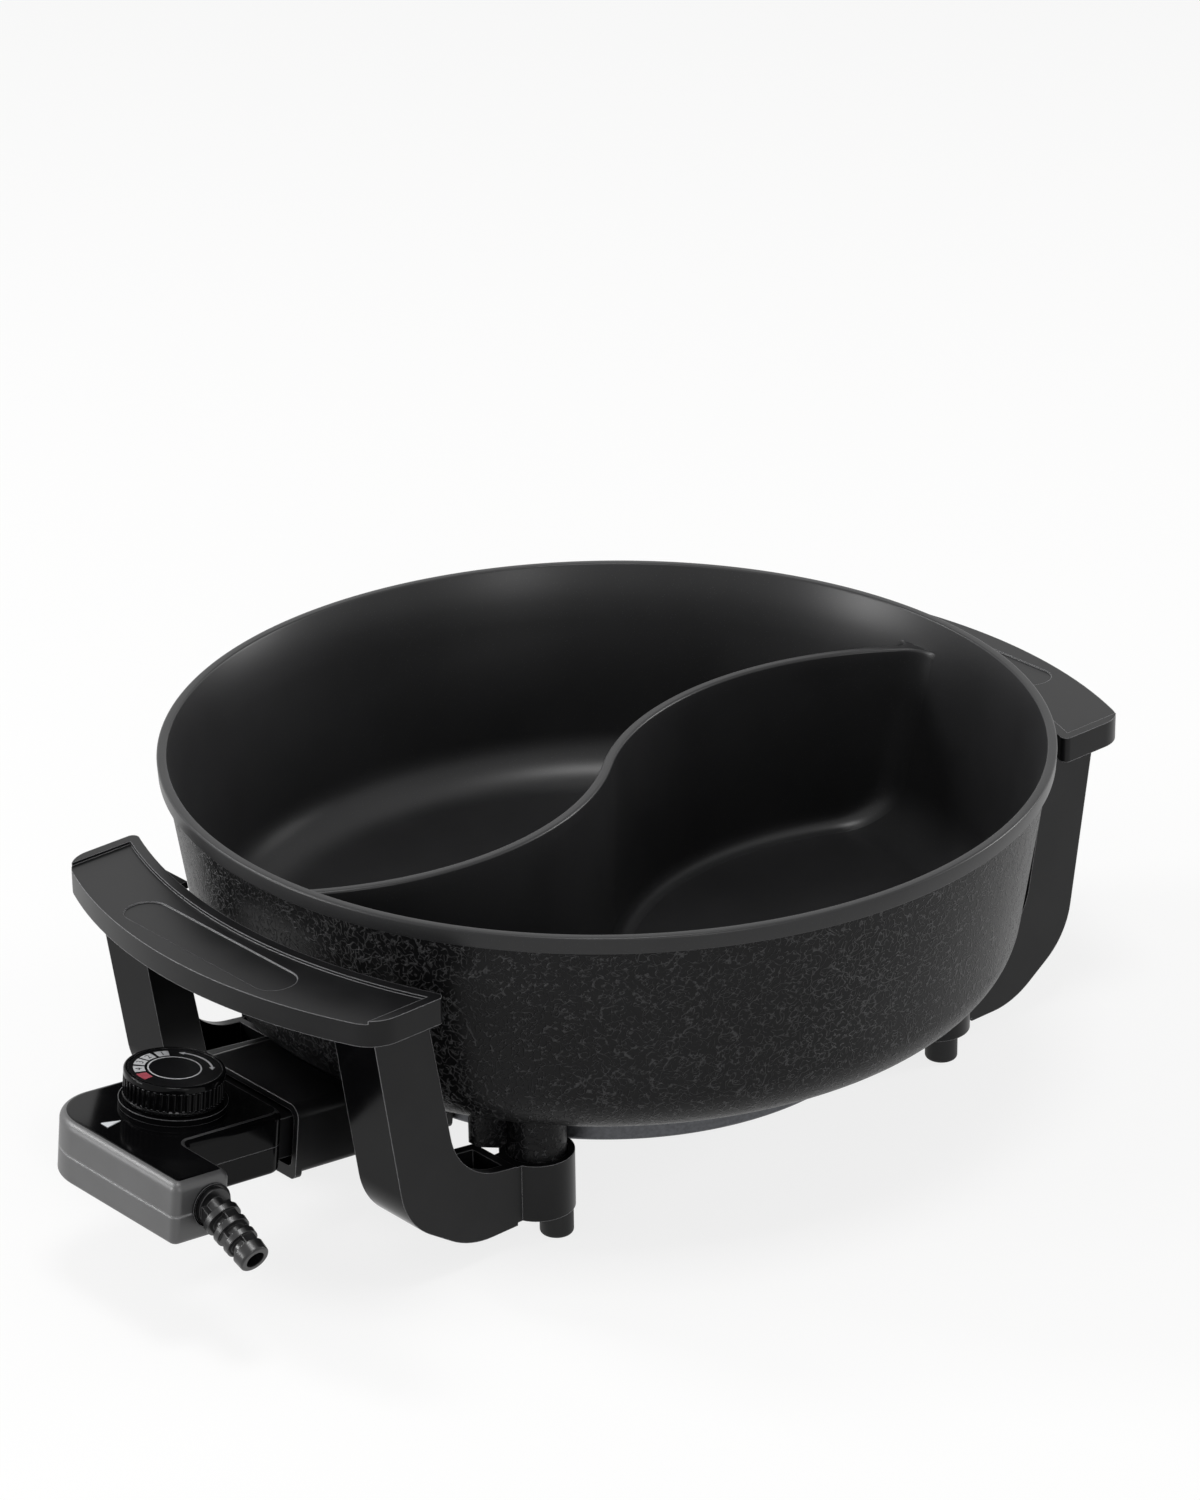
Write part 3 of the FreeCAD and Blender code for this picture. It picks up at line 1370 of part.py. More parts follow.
pot_body()
heating_element()
bottom_cover()
screws("cover_screws", "cover_height", cover_spots(), "small_screw", "small_head",
       "head_depth", "cover_thickness + small_bite")
handle("near_handle", 180)
handle("far_handle", 0)
screws("handle_screws", "foot_recess", four("foot_reach", "foot_side"), "screw_radius",
       "screw_head", "head_depth", "foot_screw_top - foot_recess")
rubber_feet()
terminal_shroud()
screws("shroud_screws", "ear_bottom", ear_spots(), "small_screw", "small_head",
       "head_depth", "ear_thickness + ear_boss - air")
terminal_pins()
terminal_insulators()
upper_housing()
lower_housing()
housing_screws()
knob()
plain_disc("dial_plate", "-plate_recess", "plate_radius", "plate_thickness")
plain_disc("knob_spindle", "-spindle_bottom", "spindle_radius", "spindle_bottom - band_drop - air * 2")
plain_disc("knob_ring", "-top_drop", "bezel_radius", "bezel_height", "bezel_inside")
spindle_bush()
bush_nut()
pointer_mark()
probe_tube()
socket_carrier()
socket_contacts()
thermostat_bracket()
strip("bimetal_arm", "strip_drop")
strip("contact_arm", "contact_drop")
cord_clamp()
clamp_screws()
strain_relief()
check_and_write()
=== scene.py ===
import bmesh
import bpy
import math
from mathutils import Matrix, Vector


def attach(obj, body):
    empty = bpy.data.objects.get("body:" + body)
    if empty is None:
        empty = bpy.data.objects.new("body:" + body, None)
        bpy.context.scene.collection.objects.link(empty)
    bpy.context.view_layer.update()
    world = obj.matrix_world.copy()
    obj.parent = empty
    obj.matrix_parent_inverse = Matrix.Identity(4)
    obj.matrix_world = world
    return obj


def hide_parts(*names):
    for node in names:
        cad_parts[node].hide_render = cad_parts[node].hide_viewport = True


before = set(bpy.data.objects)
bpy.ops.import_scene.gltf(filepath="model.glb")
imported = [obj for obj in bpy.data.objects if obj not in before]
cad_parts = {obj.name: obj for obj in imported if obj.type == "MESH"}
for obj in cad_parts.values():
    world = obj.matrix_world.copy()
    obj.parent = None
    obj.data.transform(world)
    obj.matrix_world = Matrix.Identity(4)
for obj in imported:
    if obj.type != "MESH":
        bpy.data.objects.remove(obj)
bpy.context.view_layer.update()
print("frame loaded:", len(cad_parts), "nodes")

mm = 0.001


def linearColour(code):
    channels = [int(code[i:i + 2], 16) / 255 for i in (1, 3, 5)]
    linear = [c / 12.92 if c <= 0.04045 else ((c + 0.055) / 1.055) ** 2.4 for c in channels]
    return (*linear, 1.0)


def addNode(tree, kind, inputs=None, **settings):
    # an input is a plain value, or another node's output to link
    node = tree.nodes.new(kind)
    for name, value in settings.items():
        setattr(node, name, value)
    for key, value in (inputs or {}).items():
        if isinstance(value, bpy.types.NodeSocket):
            tree.links.new(value, node.inputs[key])
        else:
            node.inputs[key].default_value = value
    return node


def startMaterial(name):
    material = bpy.data.materials.new(name)
    material.use_nodes = True
    material.node_tree.nodes.clear()
    return material, material.node_tree


cloudStops = (0.35, 0.65)
bevelSamples = 6


def mottled(tree, place, size, detail, colours):
    # clouds of a real size in millimetres, and the two colours that they blend
    cloud = addNode(tree, "ShaderNodeTexNoise", {
        "Vector": place, "Scale": 1 / (size * mm), "Detail": detail}).outputs["Fac"]
    ramp = addNode(tree, "ShaderNodeValToRGB", {"Fac": cloud})
    for stop, position, colour in zip(ramp.color_ramp.elements, cloudStops, colours):
        stop.position = position
        stop.color = linearColour(colour)
    return cloud, ramp.outputs["Color"]


mouldedPlastics = {
    # black phenolic, compression moulded: satin black, with a painted highlight in pale grey along the
    # corners
    "mouldedPhenolic": dict(dark="#0e0e0f", light="#141415", cloud=24.0, rough=0.32, specular=0.2,
                            grain=0.9, grainDepth=0.002, edge=0.6, paintedEdgeHighlight="#98989a"),
    # the same phenolic from polished mould faces: deep glossy black, drawn darker than the satin phenolic as
    # painted shade, with the same painted highlight along the corners
    "polishedPhenolicPaintedShade": dict(dark="#060607", light="#09090a", cloud=24.0, rough=0.17, specular=0.06,
                             grain=1.8, grainDepth=0.0012, edge=0.6, paintedEdgeHighlight="#98989a"),
    # glass-filled plastic from a polished mould: dark mirror-like faces, with a painted highlight in grey
    # along the corners
    "polishedMoulding": dict(dark="#060607", light="#09090a", cloud=30.0, rough=0.1, specular=0.1,
                             grain=2.5, grainDepth=0.0012, edge=0.6, paintedEdgeHighlight="#707072"),
    # the same plastic from a lightly etched mould: satin sides, drawn a lighter grey than the black top as
    # painted light, with a broad painted highlight along the corners
    "satinMouldingPaintedLight": dict(dark="#2b2b2c", light="#333334", cloud=18.0, rough=0.42, specular=1.0,
                          grain=0.5, grainDepth=0.002, edge=1.6, paintedEdgeHighlight="#7e7e80"),
    # black dial face under a thin clear lacquer
    "lacqueredDial": dict(dark="#08080a", light="#0b0b0c", cloud=6.0, rough=0.35, specular=0.25,
                          grain=0.3, grainDepth=0.001, edge=0.15),
    # soft vinyl of the strain relief: low sheen, slightly rippled
    "softVinyl": dict(dark="#101011", light="#161617", cloud=8.0, rough=0.3, specular=0.55,
                      grain=0.8, grainDepth=0.006, edge=0.5),
    # moulded rubber of the feet: dull, dusty black
    "footRubber": dict(dark="#0b0b0c", light="#131313", cloud=5.0, rough=0.55, specular=0.3,
                       grain=0.35, grainDepth=0.01, edge=0.6),
    # steatite beads round the terminals: off-white, faintly glazed
    "steatiteCeramic": dict(dark="#cfc8b8", light="#ddd7ca", cloud=3.0, rough=0.5, specular=0.5,
                            grain=0.4, grainDepth=0.004, edge=0.3),
    # pad-printed inks: flat and slightly matt
    "paleInk": dict(dark="#b9babc", light="#c6c7c9", cloud=2.0, rough=0.4, specular=0.3,
                    grain=0.2, grainDepth=0.0005, edge=0.05),
    "whiteInk": dict(dark="#dadcdf", light="#e4e6e9", cloud=2.0, rough=0.4, specular=0.3,
                     grain=0.2, grainDepth=0.0005, edge=0.05),
    "redInk": dict(dark="#9c4450", light="#a9525d", cloud=1.5, rough=0.4, specular=0.3,
                   grain=0.2, grainDepth=0.0005, edge=0.05),
}
plasticIor = 1.5
plasticSwing = 0.025
cornerCosines = (0.96, 0.8)
# a cloud's low and high value, between which the roughness swings
swingFrom, swingTo = 0.3, 0.7


def paintedHighlightShare(tree, rounded):
    # 1 along the corners, where the rounded normal leaves the face's own, and 0 on the faces: where the
    # painted highlight goes
    own = addNode(tree, "ShaderNodeNewGeometry").outputs["Normal"]
    agree = addNode(tree, "ShaderNodeVectorMath", {0: rounded, 1: own}, operation="DOT_PRODUCT")
    return addNode(tree, "ShaderNodeMapRange", {
        "Value": agree.outputs["Value"], "From Min": cornerCosines[0], "From Max": cornerCosines[1]},
        interpolation_type="SMOOTHSTEP").outputs["Result"]


def mouldedPlastic(name):
    finish = mouldedPlastics[name]
    material, tree = startMaterial(name)
    place = addNode(tree, "ShaderNodeTexCoord").outputs["Object"]
    cloud, base = mottled(tree, place, finish["cloud"], 3.0, (finish["dark"], finish["light"]))
    rounded = addNode(tree, "ShaderNodeBevel", {"Radius": finish["edge"] * mm},
                      samples=bevelSamples).outputs["Normal"]
    # corners mixed towards a pale grey: a painted highlight
    if "paintedEdgeHighlight" in finish:
        base = addNode(tree, "ShaderNodeMix", {
            0: paintedHighlightShare(tree, rounded), 6: base, 7: linearColour(finish["paintedEdgeHighlight"])},
            data_type="RGBA").outputs[2]
    rough = addNode(tree, "ShaderNodeMapRange", {
        "Value": cloud, "From Min": swingFrom, "From Max": swingTo,
        "To Min": finish["rough"] - plasticSwing, "To Max": finish["rough"] + plasticSwing})
    grain = addNode(tree, "ShaderNodeTexNoise", {
        "Vector": place, "Scale": 1 / (finish["grain"] * mm), "Detail": 2.0})
    bump = addNode(tree, "ShaderNodeBump", {
        "Height": grain.outputs["Fac"], "Distance": finish["grainDepth"] * mm, "Strength": 1.0,
        "Normal": rounded})
    shader = addNode(tree, "ShaderNodeBsdfPrincipled", {
        "Base Color": base, "Roughness": rough.outputs["Result"], "Normal": bump.outputs["Normal"],
        "IOR": plasticIor, "Specular IOR Level": finish["specular"]})
    addNode(tree, "ShaderNodeOutputMaterial", {"Surface": shader.outputs[0]})
    return material


metals = {
    # hot-dipped aluminised sheet of the bottom cover: soft grey with a fine spangle
    "aluminisedSheet": dict(colour="#5a5b5e", rough=0.38, grain=1.4, edge=0.4),
    # zinc-plated steel of screws, pins and brackets: bright and slightly cloudy
    "zincPlatedSteel": dict(colour="#b4b2ae", rough=0.24, grain=2.0, edge=0.2),
    # stainless sheath, heat-dulled
    "dullStainless": dict(colour="#6c6a68", rough=0.45, grain=3.0, edge=0.2),
    # turned brass of the contacts and the bush
    "turnedBrass": dict(colour="#c79d52", rough=0.28, grain=1.5, edge=0.2),
}
metalSwing = 0.08
metalGrainDepth = 0.006


def bareMetal(name):
    finish = metals[name]
    material, tree = startMaterial(name)
    place = addNode(tree, "ShaderNodeTexCoord").outputs["Object"]
    spots, shade = mottled(tree, place, finish["grain"], 6.0, ("#dedede", "#ffffff"))
    base = addNode(tree, "ShaderNodeMix", {0: 1.0, 6: linearColour(finish["colour"]), 7: shade},
                   data_type="RGBA", blend_type="MULTIPLY")
    rough = addNode(tree, "ShaderNodeMapRange", {
        "Value": spots, "From Min": swingFrom, "From Max": swingTo,
        "To Min": finish["rough"] - metalSwing, "To Max": finish["rough"] + metalSwing})
    rounded = addNode(tree, "ShaderNodeBevel", {"Radius": finish["edge"] * mm}, samples=bevelSamples)
    bump = addNode(tree, "ShaderNodeBump", {
        "Height": spots, "Distance": metalGrainDepth * mm, "Strength": 1.0,
        "Normal": rounded.outputs["Normal"]})
    shader = addNode(tree, "ShaderNodeBsdfPrincipled", {
        "Base Color": base.outputs[2], "Roughness": rough.outputs["Result"],
        "Normal": bump.outputs["Normal"], "Metallic": 1.0})
    addNode(tree, "ShaderNodeOutputMaterial", {"Surface": shader.outputs[0]})
    return material


# each layer of strokes has its share of the stroke size and its own shift in metres
wrinkleCoat = dict(dark="#0b0b0c", light="#101011", cloud=40.0, rough=0.36, specular=0.14,
                   strokeSize=3.0, strokeWidth=0.045, strokeDepth=0.4,
                   breakSize=2.4, breakFrom=0.42, breakTo=0.5, orangePeel=0.8, orangePeelDepth=0.02,
                   # lighter grey of the ridges: a painted highlight
                   paintedRidgeHighlight="#363637",
                   layers=[(1.0, (0.0, 0.0, 0.0)), (0.9, (0.31, 0.17, 0.43)), (1.1, (0.73, 0.59, 0.11))])


def strokesOf(tree, place, share, shift):
    # ridges where smooth noise passes its middle value, broken into short curls by a second noise
    finish = wrinkleCoat
    moved = addNode(tree, "ShaderNodeMapping", {"Location": shift, "Vector": place}).outputs["Vector"]
    waves = addNode(tree, "ShaderNodeTexNoise", {
        "Vector": moved, "Scale": 1 / (finish["strokeSize"] * share * mm), "Detail": 0.0})
    offset = addNode(tree, "ShaderNodeMath", {0: waves.outputs["Fac"], 1: 0.5}, operation="SUBTRACT")
    away = addNode(tree, "ShaderNodeMath", {0: offset.outputs[0]}, operation="ABSOLUTE")
    ridge = addNode(tree, "ShaderNodeMapRange", {
        "Value": away.outputs[0], "From Max": finish["strokeWidth"], "To Min": 1.0, "To Max": 0.0},
        interpolation_type="SMOOTHSTEP")
    breaks = addNode(tree, "ShaderNodeTexNoise", {
        "Vector": moved, "Scale": 1 / (finish["breakSize"] * mm), "Detail": 0.0})
    kept = addNode(tree, "ShaderNodeMapRange", {
        "Value": breaks.outputs["Fac"], "From Min": finish["breakFrom"], "From Max": finish["breakTo"]},
        interpolation_type="SMOOTHSTEP")
    return addNode(tree, "ShaderNodeMath", {0: ridge.outputs["Result"], 1: kept.outputs["Result"]},
                   operation="MULTIPLY").outputs[0]


def wrinkleCoatedAluminium():
    # baked wrinkle coating on cast aluminium: black, satin, covered in short curling ridges, whose crests are
    # painted a lighter grey as a painted highlight
    finish = wrinkleCoat
    material, tree = startMaterial("wrinkleCoatedAluminium")
    place = addNode(tree, "ShaderNodeTexCoord").outputs["Object"]
    base = mottled(tree, place, finish["cloud"], 3.0, (finish["dark"], finish["light"]))[1]
    ridges, *others = [strokesOf(tree, place, share, shift) for share, shift in finish["layers"]]
    for strokes in others:
        ridges = addNode(tree, "ShaderNodeMath", {0: ridges, 1: strokes}, operation="MAXIMUM").outputs[0]
    # ridges painted lighter grey as a painted highlight on their crests
    ridgeHighlighted = addNode(tree, "ShaderNodeMix", {0: ridges, 6: base, 7: linearColour(finish["paintedRidgeHighlight"])},
                     data_type="RGBA")
    peel = addNode(tree, "ShaderNodeTexNoise", {
        "Vector": place, "Scale": 1 / (finish["orangePeel"] * mm), "Detail": 2.0})
    rippled = addNode(tree, "ShaderNodeBump", {
        "Height": peel.outputs["Fac"], "Distance": finish["orangePeelDepth"] * mm, "Strength": 1.0})
    bump = addNode(tree, "ShaderNodeBump", {
        "Height": ridges, "Distance": finish["strokeDepth"] * mm, "Strength": 1.0,
        "Normal": rippled.outputs["Normal"]})
    shader = addNode(tree, "ShaderNodeBsdfPrincipled", {
        "Base Color": ridgeHighlighted.outputs[2], "Roughness": finish["rough"], "Normal": bump.outputs["Normal"],
        "IOR": plasticIor, "Specular IOR Level": finish["specular"]})
    addNode(tree, "ShaderNodeOutputMaterial", {"Surface": shader.outputs[0]})
    return material


nonStick = dict(dark="#1b1b1c", light="#222223", cloud=50.0, rough=0.36, specular=0.4, ior=1.45,
                speck=1.1, speckCore=0.05, speckRim=0.16, speckColour="#3c3c3e", haze=0.6,
                hazeDepth=0.008, edge=0.3)


def nonStickCoating():
    # sprayed fluoropolymer over cast aluminium: smooth satin grey-black with a sparse fine fleck
    finish = nonStick
    material, tree = startMaterial("nonStickCoating")
    place = addNode(tree, "ShaderNodeTexCoord").outputs["Object"]
    base = mottled(tree, place, finish["cloud"], 3.0, (finish["dark"], finish["light"]))[1]
    cells = addNode(tree, "ShaderNodeTexVoronoi", {"Vector": place, "Scale": 1 / (finish["speck"] * mm)})
    dots = addNode(tree, "ShaderNodeMapRange", {
        "Value": cells.outputs["Distance"], "From Min": finish["speckCore"], "From Max": finish["speckRim"],
        "To Min": 1.0, "To Max": 0.0})
    flecked = addNode(tree, "ShaderNodeMix", {
        0: dots.outputs["Result"], 6: base, 7: linearColour(finish["speckColour"])}, data_type="RGBA")
    rounded = addNode(tree, "ShaderNodeBevel", {"Radius": finish["edge"] * mm}, samples=bevelSamples)
    haze = addNode(tree, "ShaderNodeTexNoise", {
        "Vector": place, "Scale": 1 / (finish["haze"] * mm), "Detail": 3.0})
    bump = addNode(tree, "ShaderNodeBump", {
        "Height": haze.outputs["Fac"], "Distance": finish["hazeDepth"] * mm, "Strength": 1.0,
        "Normal": rounded.outputs["Normal"]})
    shader = addNode(tree, "ShaderNodeBsdfPrincipled", {
        "Base Color": flecked.outputs[2], "Roughness": finish["rough"], "Normal": bump.outputs["Normal"],
        "IOR": finish["ior"], "Specular IOR Level": finish["specular"]})
    addNode(tree, "ShaderNodeOutputMaterial", {"Surface": shader.outputs[0]})
    return material


finishes = {name: mouldedPlastic(name) for name in mouldedPlastics}
finishes.update({name: bareMetal(name) for name in metals})
finishes["wrinkleCoatedAluminium"] = wrinkleCoatedAluminium()
finishes["nonStickCoating"] = nonStickCoating()
print("finishes made:", len(finishes))


def placed(name, data):
    item = bpy.data.objects.new(name, data)
    bpy.context.scene.collection.objects.link(item)
    return item


def addPiece(name, mesh, materials, body, nodes=()):
    piece = placed(name, mesh)
    # clearing the list also forgets which face has which material, so an empty one is left alone
    if mesh.materials:
        mesh.materials.clear()
    for material in materials:
        mesh.materials.append(finishes[material])
    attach(piece, body)
    if nodes:
        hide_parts(*nodes)
    return piece


def smoothExcept(mesh, angle):
    work = bmesh.new()
    work.from_mesh(mesh)
    for face in work.faces:
        face.smooth = True
    for edge in work.edges:
        if len(edge.link_faces) == 2:
            edge.smooth = edge.calc_face_angle(0) < math.radians(angle)
    work.to_mesh(mesh)
    work.free()


def finishedMesh(work, name, place=None):
    bmesh.ops.recalc_face_normals(work, faces=work.faces)
    mesh = bpy.data.meshes.new(name)
    work.to_mesh(mesh)
    work.free()
    if place:
        mesh.transform(place)
    return mesh


def evaluated(item):
    bpy.context.view_layer.update()
    graph = bpy.context.evaluated_depsgraph_get()
    return bpy.data.meshes.new_from_object(item.evaluated_get(graph))


skin = dict(mergeDistance=1e-6, flatAngle=0.4, smoothAngle=32, flatWeight=60)


def weightNormals(piece):
    modifier = piece.modifiers.new("flatFaces", "WEIGHTED_NORMAL")
    modifier.keep_sharp = True
    modifier.weight = skin["flatWeight"]
    mesh = evaluated(piece)
    piece.modifiers.clear()
    piece.data = mesh


def cleanCopy(node, name, keep=None):
    # the node's triangles joined into one skin, with flat areas made single faces
    work = bmesh.new()
    work.from_mesh(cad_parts[node].data)
    bmesh.ops.remove_doubles(work, verts=work.verts, dist=skin["mergeDistance"])
    if keep:
        dropped = [face for face in work.faces if not keep(face)]
        bmesh.ops.delete(work, geom=dropped, context="FACES")
    bmesh.ops.dissolve_limit(work, angle_limit=math.radians(skin["flatAngle"]),
                             verts=work.verts, edges=work.edges)
    mesh = bpy.data.meshes.new(name)
    work.to_mesh(mesh)
    work.free()
    smoothExcept(mesh, skin["smoothAngle"])
    return mesh


# the thermostat's own frame: x towards the pot, z up out of the knob's top face
thermostat = dict(reach=209.7, height=76.7, tilt=6.28)
toThermostat = (Matrix.Translation((-thermostat["reach"] * mm, 0, thermostat["height"] * mm))
                @ Matrix.Rotation(math.radians(thermostat["tilt"]), 4, "Y"))
upOfThermostat = toThermostat.to_3x3() @ Vector((0, 0, 1))

dressed = {
    "heating_element": ("dullStainless", "pot"),
    "bottom_cover": ("aluminisedSheet", "pot"),
    "near_handle": ("mouldedPhenolic", "pot"),
    "far_handle": ("mouldedPhenolic", "pot"),
    "rubber_feet": ("footRubber", "pot"),
    "terminal_shroud": ("mouldedPhenolic", "pot"),
    "terminal_pins": ("zincPlatedSteel", "pot"),
    "terminal_insulators": ("steatiteCeramic", "pot"),
    "dial_plate": ("lacqueredDial", "knob"),
    "knob_spindle": ("zincPlatedSteel", "knob"),
    "upper_housing": ("satinMouldingPaintedLight", "controller"),
    "lower_housing": ("satinMouldingPaintedLight", "controller"),
    "knob_ring": ("polishedMoulding", "controller"),
    "spindle_bush": ("turnedBrass", "controller"),
    "bush_nut": ("zincPlatedSteel", "controller"),
    "pointer_mark": ("whiteInk", "controller"),
    "probe_tube": ("dullStainless", "controller"),
    "socket_carrier": ("mouldedPhenolic", "controller"),
    "socket_contacts": ("turnedBrass", "controller"),
    "thermostat_bracket": ("zincPlatedSteel", "controller"),
    "bimetal_arm": ("zincPlatedSteel", "controller"),
    "contact_arm": ("turnedBrass", "controller"),
    "cord_clamp": ("mouldedPhenolic", "controller"),
    "strain_relief": ("softVinyl", "controller"),
}
for node, (material, body) in dressed.items():
    weightNormals(addPiece(node + "_skin", cleanCopy(node, node + "_skin"), [material], body, [node]))


# limits of the polished mould faces: how squarely they face, and where they begin, in millimetres
polish = dict(upward=0.97, sideways=0.5, armStart=-50.0, outward=0.35, gripLevel=104.0, cupEdge=142.0)


def polishFaces(name, finish, chosen):
    mesh = bpy.data.objects[name].data
    mesh.materials.append(finishes[finish])
    for face in mesh.polygons:
        if chosen(face.center, face.normal):
            face.material_index = 1


def polishedCase(spot, normal):
    # the case's top and the sides of its arm; the outer wall and the cord's end stay satin, painted a lighter
    # grey as painted light
    inner = (toThermostat.inverted() @ spot).y > polish["armStart"] * mm
    return normal.dot(upOfThermostat) > polish["upward"] or (inner and abs(normal.y) > polish["sideways"])


def polishedLeg(side):
    # the outward faces of a handle's legs, which take the darker phenolic as painted shade; side is -1 for
    # the near handle and 1 for the far one
    def chosen(spot, normal):
        return (side * normal.x > polish["outward"] and spot.z < polish["gripLevel"] * mm
                and side * spot.x > polish["cupEdge"] * mm)
    return chosen


# the case's outer walls keep the lighter grey satin moulding as painted light
polishFaces("upper_housing_skin", "polishedMoulding", polishedCase)
polishFaces("lower_housing_skin", "polishedMoulding", polishedCase)
# the legs' outward faces get the darker phenolic as painted shade
polishFaces("near_handle_skin", "polishedPhenolicPaintedShade", polishedLeg(-1))
polishFaces("far_handle_skin", "polishedPhenolicPaintedShade", polishedLeg(1))
print("nodes dressed:", len(dressed))


arcs = dict(fewest=3, smallest=4, step=1.2)


def roundedLine(corners):
    # corners are (r, z, radius, kind of face); each rounded corner becomes an arc
    points = []
    for i, (r, z, radius, kind) in enumerate(corners):
        here = Vector((r, z))
        if radius == 0 or i in (0, len(corners) - 1):
            points.append((here, kind))
            continue
        before = (Vector(corners[i - 1][:2]) - here).normalized()
        after = (Vector(corners[i + 1][:2]) - here).normalized()
        half = before.angle(after) / 2
        middle = here + (before + after).normalized() * (radius / math.sin(half))
        first = here + before * (radius / math.tan(half)) - middle
        last = here + after * (radius / math.tan(half)) - middle
        turn = first.angle_signed(last)
        steps = max(arcs["fewest"], int(abs(turn) * max(radius, arcs["smallest"]) / arcs["step"]))
        for k in range(steps + 1):
            a = -turn * k / steps
            spoke = Vector((first.x * math.cos(a) - first.y * math.sin(a),
                            first.x * math.sin(a) + first.y * math.cos(a)))
            points.append((middle + spoke, kind))
    return points


def subdivided(points, step):
    result = [points[0]]
    for (a, _), (b, kind) in zip(points, points[1:]):
        parts = max(1, int((b - a).length / step))
        result += [(a.lerp(b, (k + 1) / parts), kind) for k in range(parts)]
    return result


def spunRings(work, points, around):
    # a ring of vertices for each point, only one vertex on the axis, and faces from ring to ring
    rings = []
    for point, _ in points:
        count = 1 if point.x < 1e-6 else around
        angles = [2 * math.pi * k / around for k in range(count)]
        rings.append([work.verts.new((point.x * mm * math.cos(a), point.x * mm * math.sin(a), point.y * mm))
                      for a in angles])
    for low, high, (_, kind) in zip(rings, rings[1:], points[1:]):
        for k in range(around):
            n = (k + 1) % around
            corners = list(dict.fromkeys([low[k % len(low)], low[n % len(low)],
                                          high[n % len(high)], high[k % len(high)]]))
            if len(corners) > 2:
                work.faces.new(corners).material_index = kind
    return rings


def lathe(name, points, around):
    # points go from the axis round to the axis, so the skin is closed
    work = bmesh.new()
    spunRings(work, points, around)
    return finishedMesh(work, name)


pan = dict(
    rimRadius=170.0, rimHeight=142.0, rimWidth=3.7, bandHeight=6.5, bandInset=0.4, wallStep=2.45,
    draft=8.53, wall=3.4, lead=14.0, corner=25.6, base=50.0, floor=4.5, edge=0.9,
    dividerDrop=12.0, dividerSpan=160.0, dividerBend=125.8, dividerThick=4.0, dividerEdge=1.1,
    fillet=6.0, around=360, longest=8.0, castingGap=0.15, castingTop=100,
    shellSmooth=35, dividerSmooth=40,
)


def panCorners():
    p = pan
    slope = math.tan(math.radians(p["draft"]))
    bandZ = p["rimHeight"] - p["bandHeight"]
    wallTop = p["rimRadius"] - p["bandInset"] - p["wallStep"]
    outerFoot = wallTop - (bandZ - p["base"]) * slope
    leadZ = p["rimHeight"] - p["lead"]
    innerLead = wallTop - (bandZ - leadZ) * slope - p["wall"] / math.cos(math.radians(p["draft"]))
    floorZ = p["base"] + p["floor"]
    innerFoot = innerLead - (leadZ - floorZ) * slope
    outside = [(0, p["base"], 0, 0), (outerFoot, p["base"], p["corner"], 0), (wallTop, bandZ, 0, 0)]
    band = [(wallTop, bandZ, 0, 1), (p["rimRadius"] - p["bandInset"], bandZ, p["edge"] / 2, 1),
            (p["rimRadius"], p["rimHeight"], p["edge"], 1),
            (p["rimRadius"] - p["rimWidth"], p["rimHeight"], p["edge"], 1), (innerLead, leadZ, 0, 1)]
    inside = [(innerLead, leadZ, 0, 2), (innerFoot, floorZ, p["corner"] - p["wall"], 2), (0, floorZ, 0, 2)]
    return outside, band, inside


outsideLine, bandLine, insideLine = panCorners()
panLine = subdivided(roundedLine(outsideLine), pan["longest"])
for stretch in (bandLine, insideLine):
    panLine += subdivided(roundedLine(stretch), pan["longest"])[1:]
insideCurve = [point for point, _ in roundedLine(bandLine[-2:]) + roundedLine(insideLine)]
outsideCurve = [point for point, _ in roundedLine(outsideLine)]


def signedGap(curve, r, z):
    # distance to the curve, above 0 on its open side: in the compartments or below the pan
    best, side = 1e9, 1
    here = Vector((r, z))
    for a, b in zip(curve, curve[1:]):
        run = b - a
        if run.length < 1e-6:
            continue
        share = min(1, max(0, (here - a).dot(run) / run.length_squared))
        away = here - (a + run * share)
        if away.length < best:
            best = away.length
            side = away.dot(Vector((run.y, -run.x)).normalized())
    return best if side >= 0 else -best


def innerHeight(r):
    for a, b in zip(insideCurve, insideCurve[1:]):
        low, high = sorted((a.x, b.x))
        if low <= r <= high and high - low > 1e-9:
            return a.y + (b.y - a.y) * (r - a.x) / (b.x - a.x)
    return pan["rimHeight"]


# spacing of the divider's rows, finer and finer towards the wall, and of the points up each row
dividerSteps = dict(curl=40, coarse=4.0, middle=3.0, middleCount=34, wallZone=8, fine=1.2, finest=0.12,
                    wallGap=0.02, past=0.6, sink=1.0, heights=22, crowding=1.7, edge=5)


def dividerRadii(end):
    s = dividerSteps
    radii = [s["coarse"] * k for k in range(int(s["curl"] / s["coarse"]))]
    radii += [s["curl"] + s["middle"] * k for k in range(s["middleCount"])]
    while radii[-1] < end - s["wallZone"]:
        radii.append(radii[-1] + s["fine"])
    while radii[-1] < end - s["wallGap"]:
        radii.append(radii[-1] + max(s["finest"], (end - radii[-1]) * s["finest"]))
    return radii + [end, end + s["past"], end + 2 * s["past"]]


